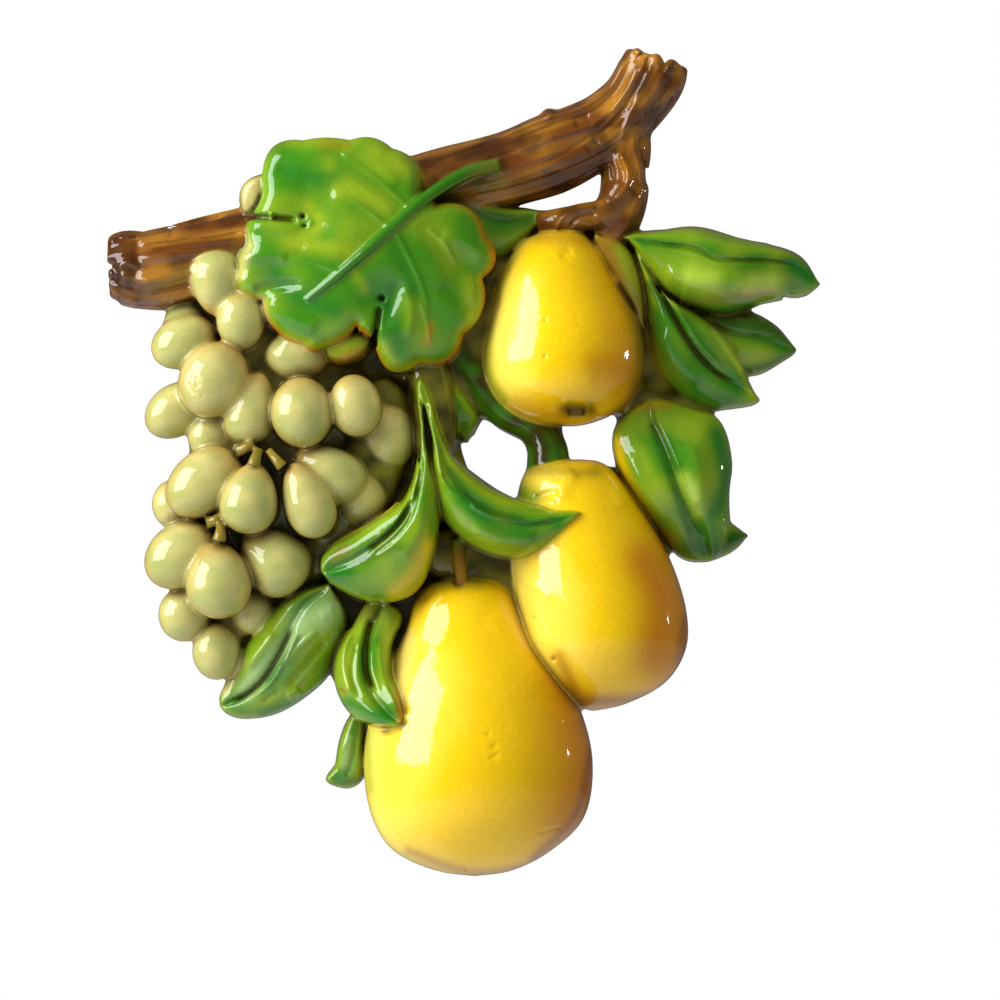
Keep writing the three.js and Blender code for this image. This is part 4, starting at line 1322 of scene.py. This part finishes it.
def thinned(mesh, triangles):
    """The mesh with fewer triangles, kept where the surface bends."""
    helper = bpy.data.objects.new("helper", mesh)
    bpy.context.scene.collection.objects.link(helper)
    split = helper.modifiers.new("split", "TRIANGULATE")
    split.quad_method = "SHORTEST_DIAGONAL"
    thin = helper.modifiers.new("thin", "DECIMATE")
    thin.ratio = triangles / (2 * len(mesh.polygons))
    result = bpy.data.meshes.new_from_object(helper.evaluated_get(bpy.context.evaluated_depsgraph_get()))
    bpy.data.objects.remove(helper)
    bpy.data.meshes.remove(mesh)
    result.name = "plaque skin"
    return result


skin = thinned(make_mesh("rough skin", in_millimetres(points), quads), TRIANGLE_LIMIT)
print(len(skin.vertices), "points and", len(skin.polygons), "faces in the skin")


# %% [markdown]
# ## Settling the skin
# Thinning moves points a little off the surface. Each slides back along the steepest way until
# the distance there is nothing, and the same slope gives the normals, so that the gloss is smooth.

# %% Settling the skin on the surface
def read_block(values, places):
    """Values of the block at places in millimetres, read between its cells."""
    at = (places - np.array([xs[0], depths[0], zs[0]])) / STEP
    at = np.clip(at, 0, np.array(values.shape) - 1.001)
    low = at.astype(int)
    u, v, w = (at - low).T
    total = np.zeros(len(places))
    for i, a in ((0, 1 - u), (1, u)):
        for j, b in ((0, 1 - v), (1, v)):
            for k, c in ((0, 1 - w), (1, w)):
                total += a * b * c * values[low[:, 0] + i, low[:, 1] + j, low[:, 2] + k]
    return total


def uphill(places, spread=0.6):
    """The direction in which the distance grows fastest, which is straight out of the surface."""
    slope = np.empty(places.shape)
    for axis in range(3):
        aside = np.zeros(3)
        aside[axis] = spread
        slope[:, axis] = read_block(block, places + aside) - read_block(block, places - aside)
    return slope / (2 * spread)


def settle(places):
    for _ in range(2):
        slope = uphill(places)
        squared = np.maximum((slope**2).sum(1), 0.1)
        move = slope * (read_block(block, places) / squared)[:, None]
        places = places - np.clip(move, -0.5, 0.5)
    return places


places = np.empty(3 * len(skin.vertices), np.float32)
skin.vertices.foreach_get("co", places)
places = settle(places.reshape(-1, 3).astype(float))
flat_back = places[:, 1] < 0.25
places[flat_back, 1] = 0
low_corner = np.array([cad_box[0][0], -cad_box[1][1], cad_box[0][2]]) * 1000
high_corner = np.array([cad_box[1][0], -cad_box[0][1], cad_box[1][2]]) * 1000
print("the skin spans", places.min(0).round(2), places.max(0).round(2))
print("the CAD spans ", low_corner.round(2), high_corner.round(2))
places = np.clip(places, low_corner, high_corner)
normals = uphill(places)
normals /= np.linalg.norm(normals, axis=1)[:, None]
normals[flat_back] = (0, -1, 0)


def in_blender(rows):
    """From x, depth and z to Blender's axes."""
    return np.column_stack([rows[:, 0], -rows[:, 1], rows[:, 2]])


skin.vertices.foreach_set("co", (in_blender(places) / 1000).astype(np.float32).ravel())
skin.polygons.foreach_set("use_smooth", np.ones(len(skin.polygons), bool))
skin.normals_split_custom_set_from_vertices(in_blender(normals).astype(np.float32))
skin.validate()
skin.update()
plaque = bpy.data.objects.new("plaque_skin", skin)
bpy.context.scene.collection.objects.link(plaque)
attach(plaque, "root")
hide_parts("plaque")

# %% [markdown]
# ## Paint
# The maker painted form by form, with the strong colours airbrushed in soft strokes, and then
# rubbed a thin brown glaze over everything, which stayed in the creases. Some colour here is
# painted light as well: paler paint on lit sides, and brown painted shade in creases and on shaded rims.

# %% The paints
PAINTS = {
    "leaf green": (0.050, 0.230, 0.005),
    "deep green": (0.010, 0.075, 0.004),
    "emerald": (0.012, 0.170, 0.010),
    "yellow green": (0.29, 0.40, 0.012),
    "lime": (0.48, 0.66, 0.06),
    "mint": (0.42, 0.62, 0.24),
    "cream": (0.66, 0.56, 0.20),
    "orange brown": (0.42, 0.15, 0.006),
    # A dark brown for the glaze in the hollows, also used as painted shade in the creases.
    "glaze and shade brown": (0.075, 0.036, 0.004),
    "pear yellow": (0.94, 0.60, 0.003),
    "lemon": (1.0, 0.86, 0.16),
    "amber": (0.62, 0.22, 0.002),
    "burnt amber": (0.30, 0.075, 0.003),
    "dark bark": (0.030, 0.010, 0.002),
    "bark": (0.14, 0.042, 0.005),
    "ochre": (0.42, 0.185, 0.018),
    "sage": (0.36, 0.40, 0.115),
    "olive": (0.20, 0.18, 0.02),
    "dark olive": (0.040, 0.040, 0.004),
}


def mixed(base, paint, amount):
    amount = np.clip(amount, 0, 1)
    amount = amount[:, None] if np.ndim(amount) else amount
    return base + (np.array(PAINTS[paint]) - base) * amount


def plain(paint, count):
    return np.tile(PAINTS[paint], (count, 1)).astype(float)


def blotches(places, size, seed):
    """Soft random blotches between -1 and 1 all over the plaque, of a size in millimetres."""
    rng = np.random.default_rng(seed)
    value = np.zeros(len(places))
    for _ in range(9):
        wave = rng.normal(size=3)
        wave *= 2 * np.pi / (size * rng.uniform(0.8, 1.6)) / np.linalg.norm(wave)
        value += np.sin(places @ wave + rng.uniform(0, 6.3))
    return np.clip(value / 3, -1, 1)


# %% How each kind of form is painted
def paint_leaf(form, p):
    maps = form["maps"]
    edge = read_map(maps["edge"], maps["first"], STEP, p[:, 0], p[:, 2])
    hue = plain("leaf green", len(p))
    hue = mixed(hue, "yellow green", 0.15 + 0.4 * blotches(p, 16, 1))
    if "line" in form:
        share, left, past = beside(form["line"], p[:, 0], p[:, 2])
        t = np.linspace(0, 1, len(form["line"]))
        left_half, right_half = form["widths"]
        half = np.where(left > 0, np.interp(share, t, left_half), np.interp(share, t, right_half))
        s = np.abs(left) / half
        hue = mixed(hue, "yellow green", 0.5 * np.exp(-(((s - 0.6) / 0.25) ** 2)))
        hue = mixed(hue, "deep green", 0.35 * np.exp(-((left / 1.8) ** 2)))
        hue = mixed(hue, "emerald", 0.7 * soft_step(0.72, 0.95, share))
    hue = mixed(hue, "yellow green", 0.6 * soft_step(-3.5, -0.5, edge))
    return mixed(hue, "orange brown", 0.5 * soft_step(-0.6, 1.0, edge))


def paint_vine_leaf(form, p):
    if "maps" not in form:
        return mixed(plain("leaf green", len(p)), "deep green", 0.4)
    maps = form["maps"]
    edge = read_map(maps["edge"], maps["first"], STEP, p[:, 0], p[:, 2])
    hue = mixed(plain("leaf green", len(p)), "yellow green", 0.15 + 0.35 * blotches(p, 20, 2))
    hue = mixed(hue, "yellow green", 0.4 * soft_step(-4, -1, edge))
    lower = soft_step(10, -35, p[:, 2] - 0.4 * p[:, 0])
    return mixed(hue, "orange brown", 0.85 * lower * soft_step(-2.2, -0.2, edge))


def paint_pear(form, p):
    (x0, x1), (_, d1), _ = form["box"]
    across = (p[:, 0] - (x0 + x1) / 2) / ((x1 - x0) / 2)
    # Paler lemon toward the left, the side the window lights, is a painted highlight on the yellow.
    hue = mixed(plain("pear yellow", len(p)), "lemon", -0.15 - 0.75 * across + 0.15 * blotches(p, 25, 3))
    hue = mixed(hue, "amber", 0.85 * soft_step(0.15, 1.0, across))
    # Burnt amber toward the back on the right, where the pear turns from the light, is painted shade over the
    # airbrushed amber.
    away = soft_step(0.45, 1.0, (d1 - p[:, 1]) / (d1 - 10))
    return mixed(hue, "burnt amber", 0.5 * away * soft_step(-0.2, 0.6, across))


def paint_grape(form, p):
    rng = np.random.default_rng(int(form["name"][-2:]))
    tint = rng.uniform(0, 1, 3)
    x, z = p[:, 0] - form["at"][0], p[:, 2] - form["at"][1]
    towards_stem = (x * form["stem"][0] + z * form["stem"][1]) / form["long"]
    hue = mixed(plain("sage", len(p)), "cream", 0.25 + 0.35 * tint[0] + 0.2 * blotches(p, 9, 4))
    hue = mixed(hue, "leaf green", 0.16 * tint[1] * soft_step(0.2, -0.8, towards_stem))
    hue = mixed(hue, "ochre", 0.4 * soft_step(0.3, 1.0, towards_stem))
    # Deeper back each grape turns ochre, its airbrushed rim, then olive where it sinks among its neighbours,
    # which is painted shade.
    sunk = (form["box"][1][1] - p[:, 1]) / 10
    hue = mixed(hue, "ochre", 0.38 * soft_step(0.25, 0.9, sunk))
    return mixed(hue, "olive", 0.8 * soft_step(0.7, 1.7, sunk))


def paint_limb(form, p):
    if form["kind"] == "stem":
        hue = plain("dark olive", len(p))
        return mixed(hue, "leaf green", 0.4 + 0.4 * blotches(p, 8, 5))
    hue = mixed(plain("bark", len(p)), "ochre", 0.22 + 0.45 * blotches(p * (0.4, 1, 1), 8, 6))
    return mixed(hue, "dark bark", 0.6 * soft_step(0, 1, blotches(p, 14, 7)))


def paint_stalk(form, p):
    return mixed(plain("ochre", len(p)), "olive", 0.85 + 0.15 * blotches(p, 4, 9))


def paint_ground(form, p):
    return mixed(plain("dark olive", len(p)), "olive", 0.6 + 0.5 * blotches(p, 9, 8))


PAINTERS = {
    "backing": paint_ground,
    "mound": paint_ground,
    "leaf": paint_leaf,
    "vine leaf": paint_vine_leaf,
    "branch": paint_limb,
    "stem": paint_limb,
    "stalk": paint_stalk,
    "pear": paint_pear,
    "grape": paint_grape,
}

# %% [markdown]
# ## Airbrush strokes
# An airbrush leaves a soft band that is strongest along its middle. Each stroke below tints one
# form, or every form of one kind, as if the rest were masked. Some of the strokes are painted
# highlights and painted shade, as noted where they stand. A painted image would need a flat layout of
# the surface, and a band worked out in space needs none.

# %% The airbrush strokes
# Each stroke: the form, the paint, points along it in x and z, its width and its strength.
STROKES = [
    ("vineLeaf", "yellow green", [(-37, -5), (-23, -12)], 4.5, 0.8),
    ("vineLeaf", "yellow green", [(-43, 3), (-39, -8)], 3, 0.6),
    ("vineLeaf", "yellow green", [(-25, 8), (-15, 1)], 4.5, 0.7),
    ("vineLeaf", "orange brown", [(-46, 10), (-36, 9)], 2, 0.3),
    ("vineLeaf", "olive", [(-14, 6), (-11, 1), (-10, -6)], 2, 0.6),
    ("vineLeaf", "emerald", [(-58, 0), (-47, -3), (-41, -2)], 3.5, 0.7),
    ("vineLeaf", "deep green", [(-68, 8), (-61, 9)], 3.5, 0.45),
    ("vineLeaf", "yellow green", [(-51, -13), (-46, -19), (-54, -25)], 2.5, 0.8),
    ("vineLeaf", "yellow green", [(-57, -26), (-37, -29)], 3.5, 0.8),
    ("vineLeaf", "emerald", [(-63, -37), (-54, -46), (-41, -51)], 4.5, 0.85),
    ("vineLeaf", "yellow green", [(-35, -35), (-30, -43)], 2, 0.6),
    ("vineLeaf", "emerald", [(-23, -43), (-18, -63)], 5, 0.9),
    ("vineLeaf", "emerald", [(-19, -29), (-12, -43)], 2.5, 0.5),
    ("vineLeaf", "yellow green", [(8, -41), (10, -55)], 3.5, 0.8),
    ("vineLeaf", "yellow green", [(-3, -23), (1, -34)], 3.5, 0.35),
    ("vineLeaf", "yellow green", [(-59, -60), (-46, -64), (-37, -63)], 2, 0.8),
    ("vineLeaf", "orange brown", [(-66, -56), (-57, -62), (-46, -66), (-37, -61), (-30, -59)], 1, 0.8),
    ("vineLeaf", "yellow green", [(-23, -64), (-19, -71), (-8, -72)], 2.5, 0.7),
    ("vineLeaf", "ochre", [(-6, -56), (-7, -63)], 1.5, 0.6),
    ("vineLeaf", "orange brown", [
        (17, -29), (18, -36), (16, -47), (11, -60), (3, -69), (-6, -75),
    ], 1.5, 0.95),
    # The cream strokes on the vine leaf's left edge and on its back lobe are painted highlights of the window
    # light.
    ("vineLeaf", "cream", [(-72, -27), (-76, -38)], 2, 0.6),
    ("vineLeaf", "cream", [(-68, -47), (-66, -56)], 1.5, 0.6),
    ("vineLeafBackLobe", "cream", [(-74, -3), (-70, -14)], 5, 0.95),
    ("vineLeafUnderLobe", "yellow green", [(-43, -65), (-32, -63)], 5, 0.8),
    ("vineLeafUnderLobe", "orange brown", [(-41, -70), (-31, -66)], 2, 0.6),
    ("vineStem", "olive", [(11, -2), (18, 3)], 3.5, 0.6),
    ("upperRight", "olive", [(72, -22), (77, -20), (98, -21), (119, -26), (129, -31)], 1.5, 0.65),
    ("upperRight", "lime", [(89, -38), (96, -39)], 4, 0.6),
    ("upperRight", "lime", [(109, -41), (119, -40)], 3.5, 0.65),
    ("upperRight", "emerald", [(127, -34), (134, -38)], 3.5, 0.9),
    ("upperRight", "olive", [(76, -42), (86, -47), (103, -46), (119, -44)], 1.5, 0.75),
    # The deep green along the lower edge darkens the underside that rolls away from the light: painted shade.
    ("upperRight", "deep green", [(80, -47), (89, -49), (101, -51), (111, -49)], 2, 0.9),
    # Cream on the bulge of the lower half is a painted highlight.
    ("upperRight", "cream", [(109, -44), (120, -43)], 1.5, 0.45),
    ("middleRight", "pear yellow", [(70, -38), (72, -54), (75, -68), (80, -80)], 2, 0.65),
    ("middleRight", "orange brown", [(72, -60), (75, -71)], 1.5, 0.55),
    ("middleRight", "emerald", [(77, -52), (82, -65), (91, -78)], 3.5, 0.8),
    ("middleRight", "deep green", [(74, -41), (81, -51), (87, -60), (95, -70)], 1.5, 0.7),
    ("middleRight", "emerald", [(88, -53), (96, -64), (104, -73)], 2.5, 0.55),
    ("middleRight", "lime", [(98, -58), (108, -72)], 1.5, 0.7),
    ("middleRight", "yellow green", [(111, -81), (115, -83)], 2.5, 0.8),
    ("middleRight", "emerald", [(92, -81), (103, -84)], 2.5, 0.8),
    ("behindRight", "deep green", [(98, -55), (115, -56), (126, -61)], 3.5, 0.8),
    ("behindRight", "yellow green", [(109, -69), (117, -66)], 2, 0.75),
    ("behindRight", "olive", [(96, -56), (105, -68)], 3, 0.6),
    ("behindRight", "deep green", [(107, -73), (120, -70), (128, -65)], 2, 0.7),
    ("behindRight", "orange brown", [(120, -53), (129, -63)], 1, 0.4),
    ("hanging", "pear yellow", [(62, -98), (64, -107), (68, -117), (74, -127)], 2, 0.75),
    ("hanging", "orange brown", [(74, -130), (81, -135)], 2.5, 0.85),
    ("hanging", "deep green", [(75, -93), (82, -113), (89, -132)], 1.5, 0.8),
    ("hanging", "lime", [(87, -112), (92, -124)], 3, 0.65),
    ("hanging", "emerald", [(99, -96), (102, -113), (98, -124)], 3.5, 0.85),
    ("hanging", "deep green", [(89, -137), (100, -139)], 3.5, 0.75),
    ("hanging", "orange brown", [(69, -86), (81, -85)], 2, 0.5),
    ("hanging", "yellow green", [(71, -102), (76, -116)], 2, 0.45),
    ("hangingTip", "deep green", [(93, -138), (108, -134)], 5, 0.85),
    ("centreLeft", "olive", [(-41, -141), (-37, -138)], 2, 0.8),
    ("centreLeft", "emerald", [(-45, -149), (-36, -146)], 3, 0.85),
    ("centreLeft", "deep green", [(-32, -142), (-17, -137)], 2, 0.5),
    ("centreLeft", "pear yellow", [(-7, -137), (-12, -147), (-19, -154)], 3, 0.5),
    ("centreLeft", "orange brown", [(0, -135), (-6, -149), (-15, -157)], 1.5, 0.6),
    ("centreRight", "emerald", [(7, -120), (19, -131), (30, -133)], 4, 0.8),
    ("centreRight", "deep green", [(1, -109), (12, -122), (27, -127)], 1.5, 0.6),
    ("centreRight", "orange brown", [(49, -126), (43, -135), (30, -142)], 1.5, 0.9),
    ("centreRight", "yellow green", [(12, -139), (27, -142)], 1.5, 0.7),
    ("lowerLeft", "mint", [(-54, -166), (-37, -157)], 5, 0.75),
    ("lowerLeft", "mint", [(-74, -190), (-57, -171)], 3.5, 0.7),
    ("lowerLeft", "emerald", [(-68, -199), (-48, -190), (-40, -177)], 2, 0.85),
    ("lowerLeft", "cream", [(-82, -190), (-76, -179)], 2, 0.8),
    ("lowerLeft", "olive", [(-41, -155), (-34, -157)], 2.5, 0.5),
    ("lowerLeft", "deep green", [(-54, -171), (-65, -186)], 1.5, 0.6),
    ("besidePear", "lime", [(-23, -162), (-20, -179)], 2.5, 0.5),
    ("besidePear", "yellow green", [(-36, -177), (-36, -188)], 3, 0.8),
    ("besidePear", "emerald", [(-36, -194), (-23, -200)], 3, 0.85),
    ("besidePear", "olive", [(-33, -161), (-27, -162)], 3.5, 0.7),
    ("besidePear", "orange brown", [(-17, -191), (-16, -201)], 2, 0.7),
    ("besidePear", "burnt amber", [(-39, -189), (-37, -190)], 0.5, 0.9),
    ("belowLeft", "mint", [(-36, -208), (-37, -217)], 2, 0.35),
    ("belowLeft", "deep green", [(-41, -224), (-32, -223)], 2, 0.6),
    ("belowBranch", "deep green", [(12, -15), (29, -18)], 3, 0.6),
    ("foldedStrip", "ochre", [(56, -24), (69, -58)], 6.5, 0.8),
    ("foldedStrip", "yellow green", [(63, -29), (68, -43)], 2, 0.5),
    ("upperPear", "yellow green", [(15, -56), (16, -76), (21, -83)], 2, 0.6),
    ("upperPear", "yellow green", [(23, -30), (18, -47)], 2, 0.5),
    ("upperPear", "olive", [(66, -41), (71, -61), (70, -79)], 3.5, 0.75),
    ("upperPear", "amber", [(55, -71), (65, -73)], 6, 0.6),
    ("upperPear", "amber", [(27, -85), (41, -89)], 4.5, 0.5),
    ("upperPear", "ochre", [(34, -24), (56, -24)], 3.5, 0.5),
    ("upperPear", "glaze and shade brown", [(43, -87), (52, -87)], 3, 0.9),
    ("rightPear", "leaf green", [(24, -116), (31, -119)], 4, 0.8),
    ("rightPear", "olive", [(30, -109), (56, -110)], 2.5, 0.6),
    ("rightPear", "amber", [(72, -142), (79, -157), (76, -177)], 7.5, 0.85),
    # The burnt amber on the right pear's lower and right rims, and where it meets the lower pear, is painted
    # shade over the amber.
    ("rightPear", "burnt amber", [(49, -194), (72, -193)], 3, 0.75),
    ("rightPear", "burnt amber", [(41, -177), (47, -190)], 2.5, 0.6),
    ("rightPear", "burnt amber", [(87, -164), (85, -179)], 2, 0.6),
    ("lowerPear", "amber", [(43, -190), (50, -215), (43, -237)], 6.5, 0.6),
    # The burnt amber along the lower pear's right and lower rims is painted shade over the amber.
    ("lowerPear", "burnt amber", [(53, -212), (47, -235), (32, -251)], 2, 0.7),
    ("lowerPear", "burnt amber", [(-14, -248), (8, -256), (27, -255)], 2, 0.5),
    ("lowerPear", "olive", [(-3, -150), (11, -150)], 3, 0.6),
    ("lowerPear", "yellow green", [(-29, -206), (-28, -226)], 2, 0.6),
    # Cream on the lower pear's left is a painted highlight where the window light falls.
    ("lowerPear", "cream", [(-14, -171), (-18, -193)], 3.5, 0.5),
    # Olive at the tip of the leaf beside the pear is the painted shadow that the tip casts on the pear.
    ("lowerPear", "olive", [(-22, -201), (-15, -203)], 2, 0.6),
    ("branch", "dark bark", [(-123, -25), (-120, -46)], 3.5, 0.75),
    ("branch", "dark bark", [(-118, -27), (-113, -47)], 3, 0.5),
    ("branch", "ochre", [(-101, -43), (-78, -36)], 3.5, 0.4),
    ("branch", "dark bark", [(-8, 4), (27, 12)], 2.5, 0.45),
    ("branch", "dark bark", [(41, -1), (56, 3)], 3.5, 0.4),
    ("branch", "ochre", [(65, 37), (60, 23)], 3.5, 0.7),
    ("branch", "ochre", [(71, 43), (76, 41)], 3, 0.6),
    ("branch", "dark bark", [(81, 34), (74, 19)], 2, 0.6),
    ("branch", "olive", [(3, -5), (19, -3)], 3.5, 0.5),
    ("branch", "olive", [(-109, -43), (-76, -29)], 2.5, 0.35),
    ("fork", "amber", [(63, 4), (71, -7)], 3.5, 0.35),
    ("fork", "dark bark", [(56, 1), (60, 8)], 2.5, 0.6),
    ("hook", "ochre", [(41, -18), (65, -16)], 2.5, 0.4),
    ("lowerStem", "ochre", [(3, -142), (5, -149)], 5, 0.8),
]

# %% Painting
OVERSPRAY = 4
BLEND = 0.3
NARROW_CREASE, BROAD_CREASE = 1.8, 4.5


def painted(places):
    """The colour at each place: every form near it is painted, and the nearest counts most."""
    colour = np.zeros((len(places), 3))
    weight = np.full(len(places), 1e-9)
    for form in forms:
        (x0, x1), (_, d1), (z0, z1) = form["box"]
        near = (places[:, 0] > x0 - OVERSPRAY) & (places[:, 0] < x1 + OVERSPRAY)
        near &= places[:, 1] < d1 + OVERSPRAY
        near &= (places[:, 2] > z0 - OVERSPRAY) & (places[:, 2] < z1 + OVERSPRAY)
        some = np.flatnonzero(near)
        p = places[some]
        away = form["near"](*p.T)
        share = np.exp(-np.clip(away, -3, 30) / BLEND)
        hue = PAINTERS[form["kind"]](form, p)
        for name, paint, points, width, strength in STROKES:
            if name == form["name"] or name == form["kind"]:
                hue = mixed(hue, paint, strength * stroke(points, width, p[:, 0], p[:, 2], fading=False))
        colour[some] += share[:, None] * hue
        weight[some] += share
    return colour / weight[:, None]


def crease_shade(places, normals, reach_out):
    """How shut in a place is, from 0 on open surface to 1 in a deep crease; it sets the brown glaze and
    painted shade.
    """
    return np.clip(1 - read_block(block, places + normals * reach_out) / reach_out, 0, 1)


colour = painted(places)
narrow = crease_shade(places, normals, NARROW_CREASE)
broad = crease_shade(places, normals, BROAD_CREASE)
# The creases darken with brown by how shut in they are: partly the glaze the real piece keeps in its hollows,
# partly painted shade.
colour = mixed(colour, "glaze and shade brown", 0.45 * soft_step(0.3, 1.0, narrow) + 0.25 * soft_step(0.35, 1.0, broad))
layer = skin.color_attributes.new("paint", "FLOAT_COLOR", "POINT")
layer.data.foreach_set("color", np.column_stack([colour, np.ones(len(colour))]).astype(np.float32).ravel())
print("painted", len(colour), "points")


# %% [markdown]
# ## Lacquer
# Under the gloss the plaster is a little uneven, like orange peel, and the airbrush left specks.
# Both are too fine to model, so they are a bump and a mottling in the material.

# %% The lacquered surface
PEEL_SIZE = 5.0
SPECK_SIZE = 1.3


def noise(nodes, links, place, size_mm, detail):
    """Random variation of a size in millimetres, the same from every side."""
    grain = nodes.new("ShaderNodeTexNoise")
    grain.inputs["Scale"].default_value = 1000 / size_mm
    grain.inputs["Detail"].default_value = detail
    links.new(place.outputs["Object"], grain.inputs["Vector"])
    return grain.outputs["Fac"]


def glossy_paint():
    material = bpy.data.materials.new("painted plaster")
    material.use_nodes = True
    nodes, links = material.node_tree.nodes, material.node_tree.links
    shader = nodes["Principled BSDF"]
    shader.inputs["Roughness"].default_value = 0.5
    shader.inputs["Specular IOR Level"].default_value = 0.05
    shader.inputs["Coat Weight"].default_value = 1.0
    shader.inputs["Coat Roughness"].default_value = 0.07
    place = nodes.new("ShaderNodeTexCoord")
    hue = nodes.new("ShaderNodeAttribute")
    hue.attribute_name = "paint"
    mottle = nodes.new("ShaderNodeMapRange")
    mottle.inputs["From Min"].default_value = 0.3
    mottle.inputs["From Max"].default_value = 0.7
    mottle.inputs["To Min"].default_value = 0.93
    mottle.inputs["To Max"].default_value = 1.05
    links.new(noise(nodes, links, place, SPECK_SIZE, 6), mottle.inputs["Value"])
    tinted = nodes.new("ShaderNodeVectorMath")
    tinted.operation = "SCALE"
    links.new(hue.outputs["Color"], tinted.inputs[0])
    links.new(mottle.outputs[0], tinted.inputs["Scale"])
    links.new(tinted.outputs[0], shader.inputs["Base Color"])
    bump = nodes.new("ShaderNodeBump")
    bump.inputs["Strength"].default_value = 0.35
    bump.inputs["Distance"].default_value = 0.0006
    links.new(noise(nodes, links, place, PEEL_SIZE, 3), bump.inputs["Height"])
    links.new(bump.outputs[0], shader.inputs["Normal"])
    links.new(bump.outputs[0], shader.inputs["Coat Normal"])
    return material


skin.materials.append(glossy_paint())
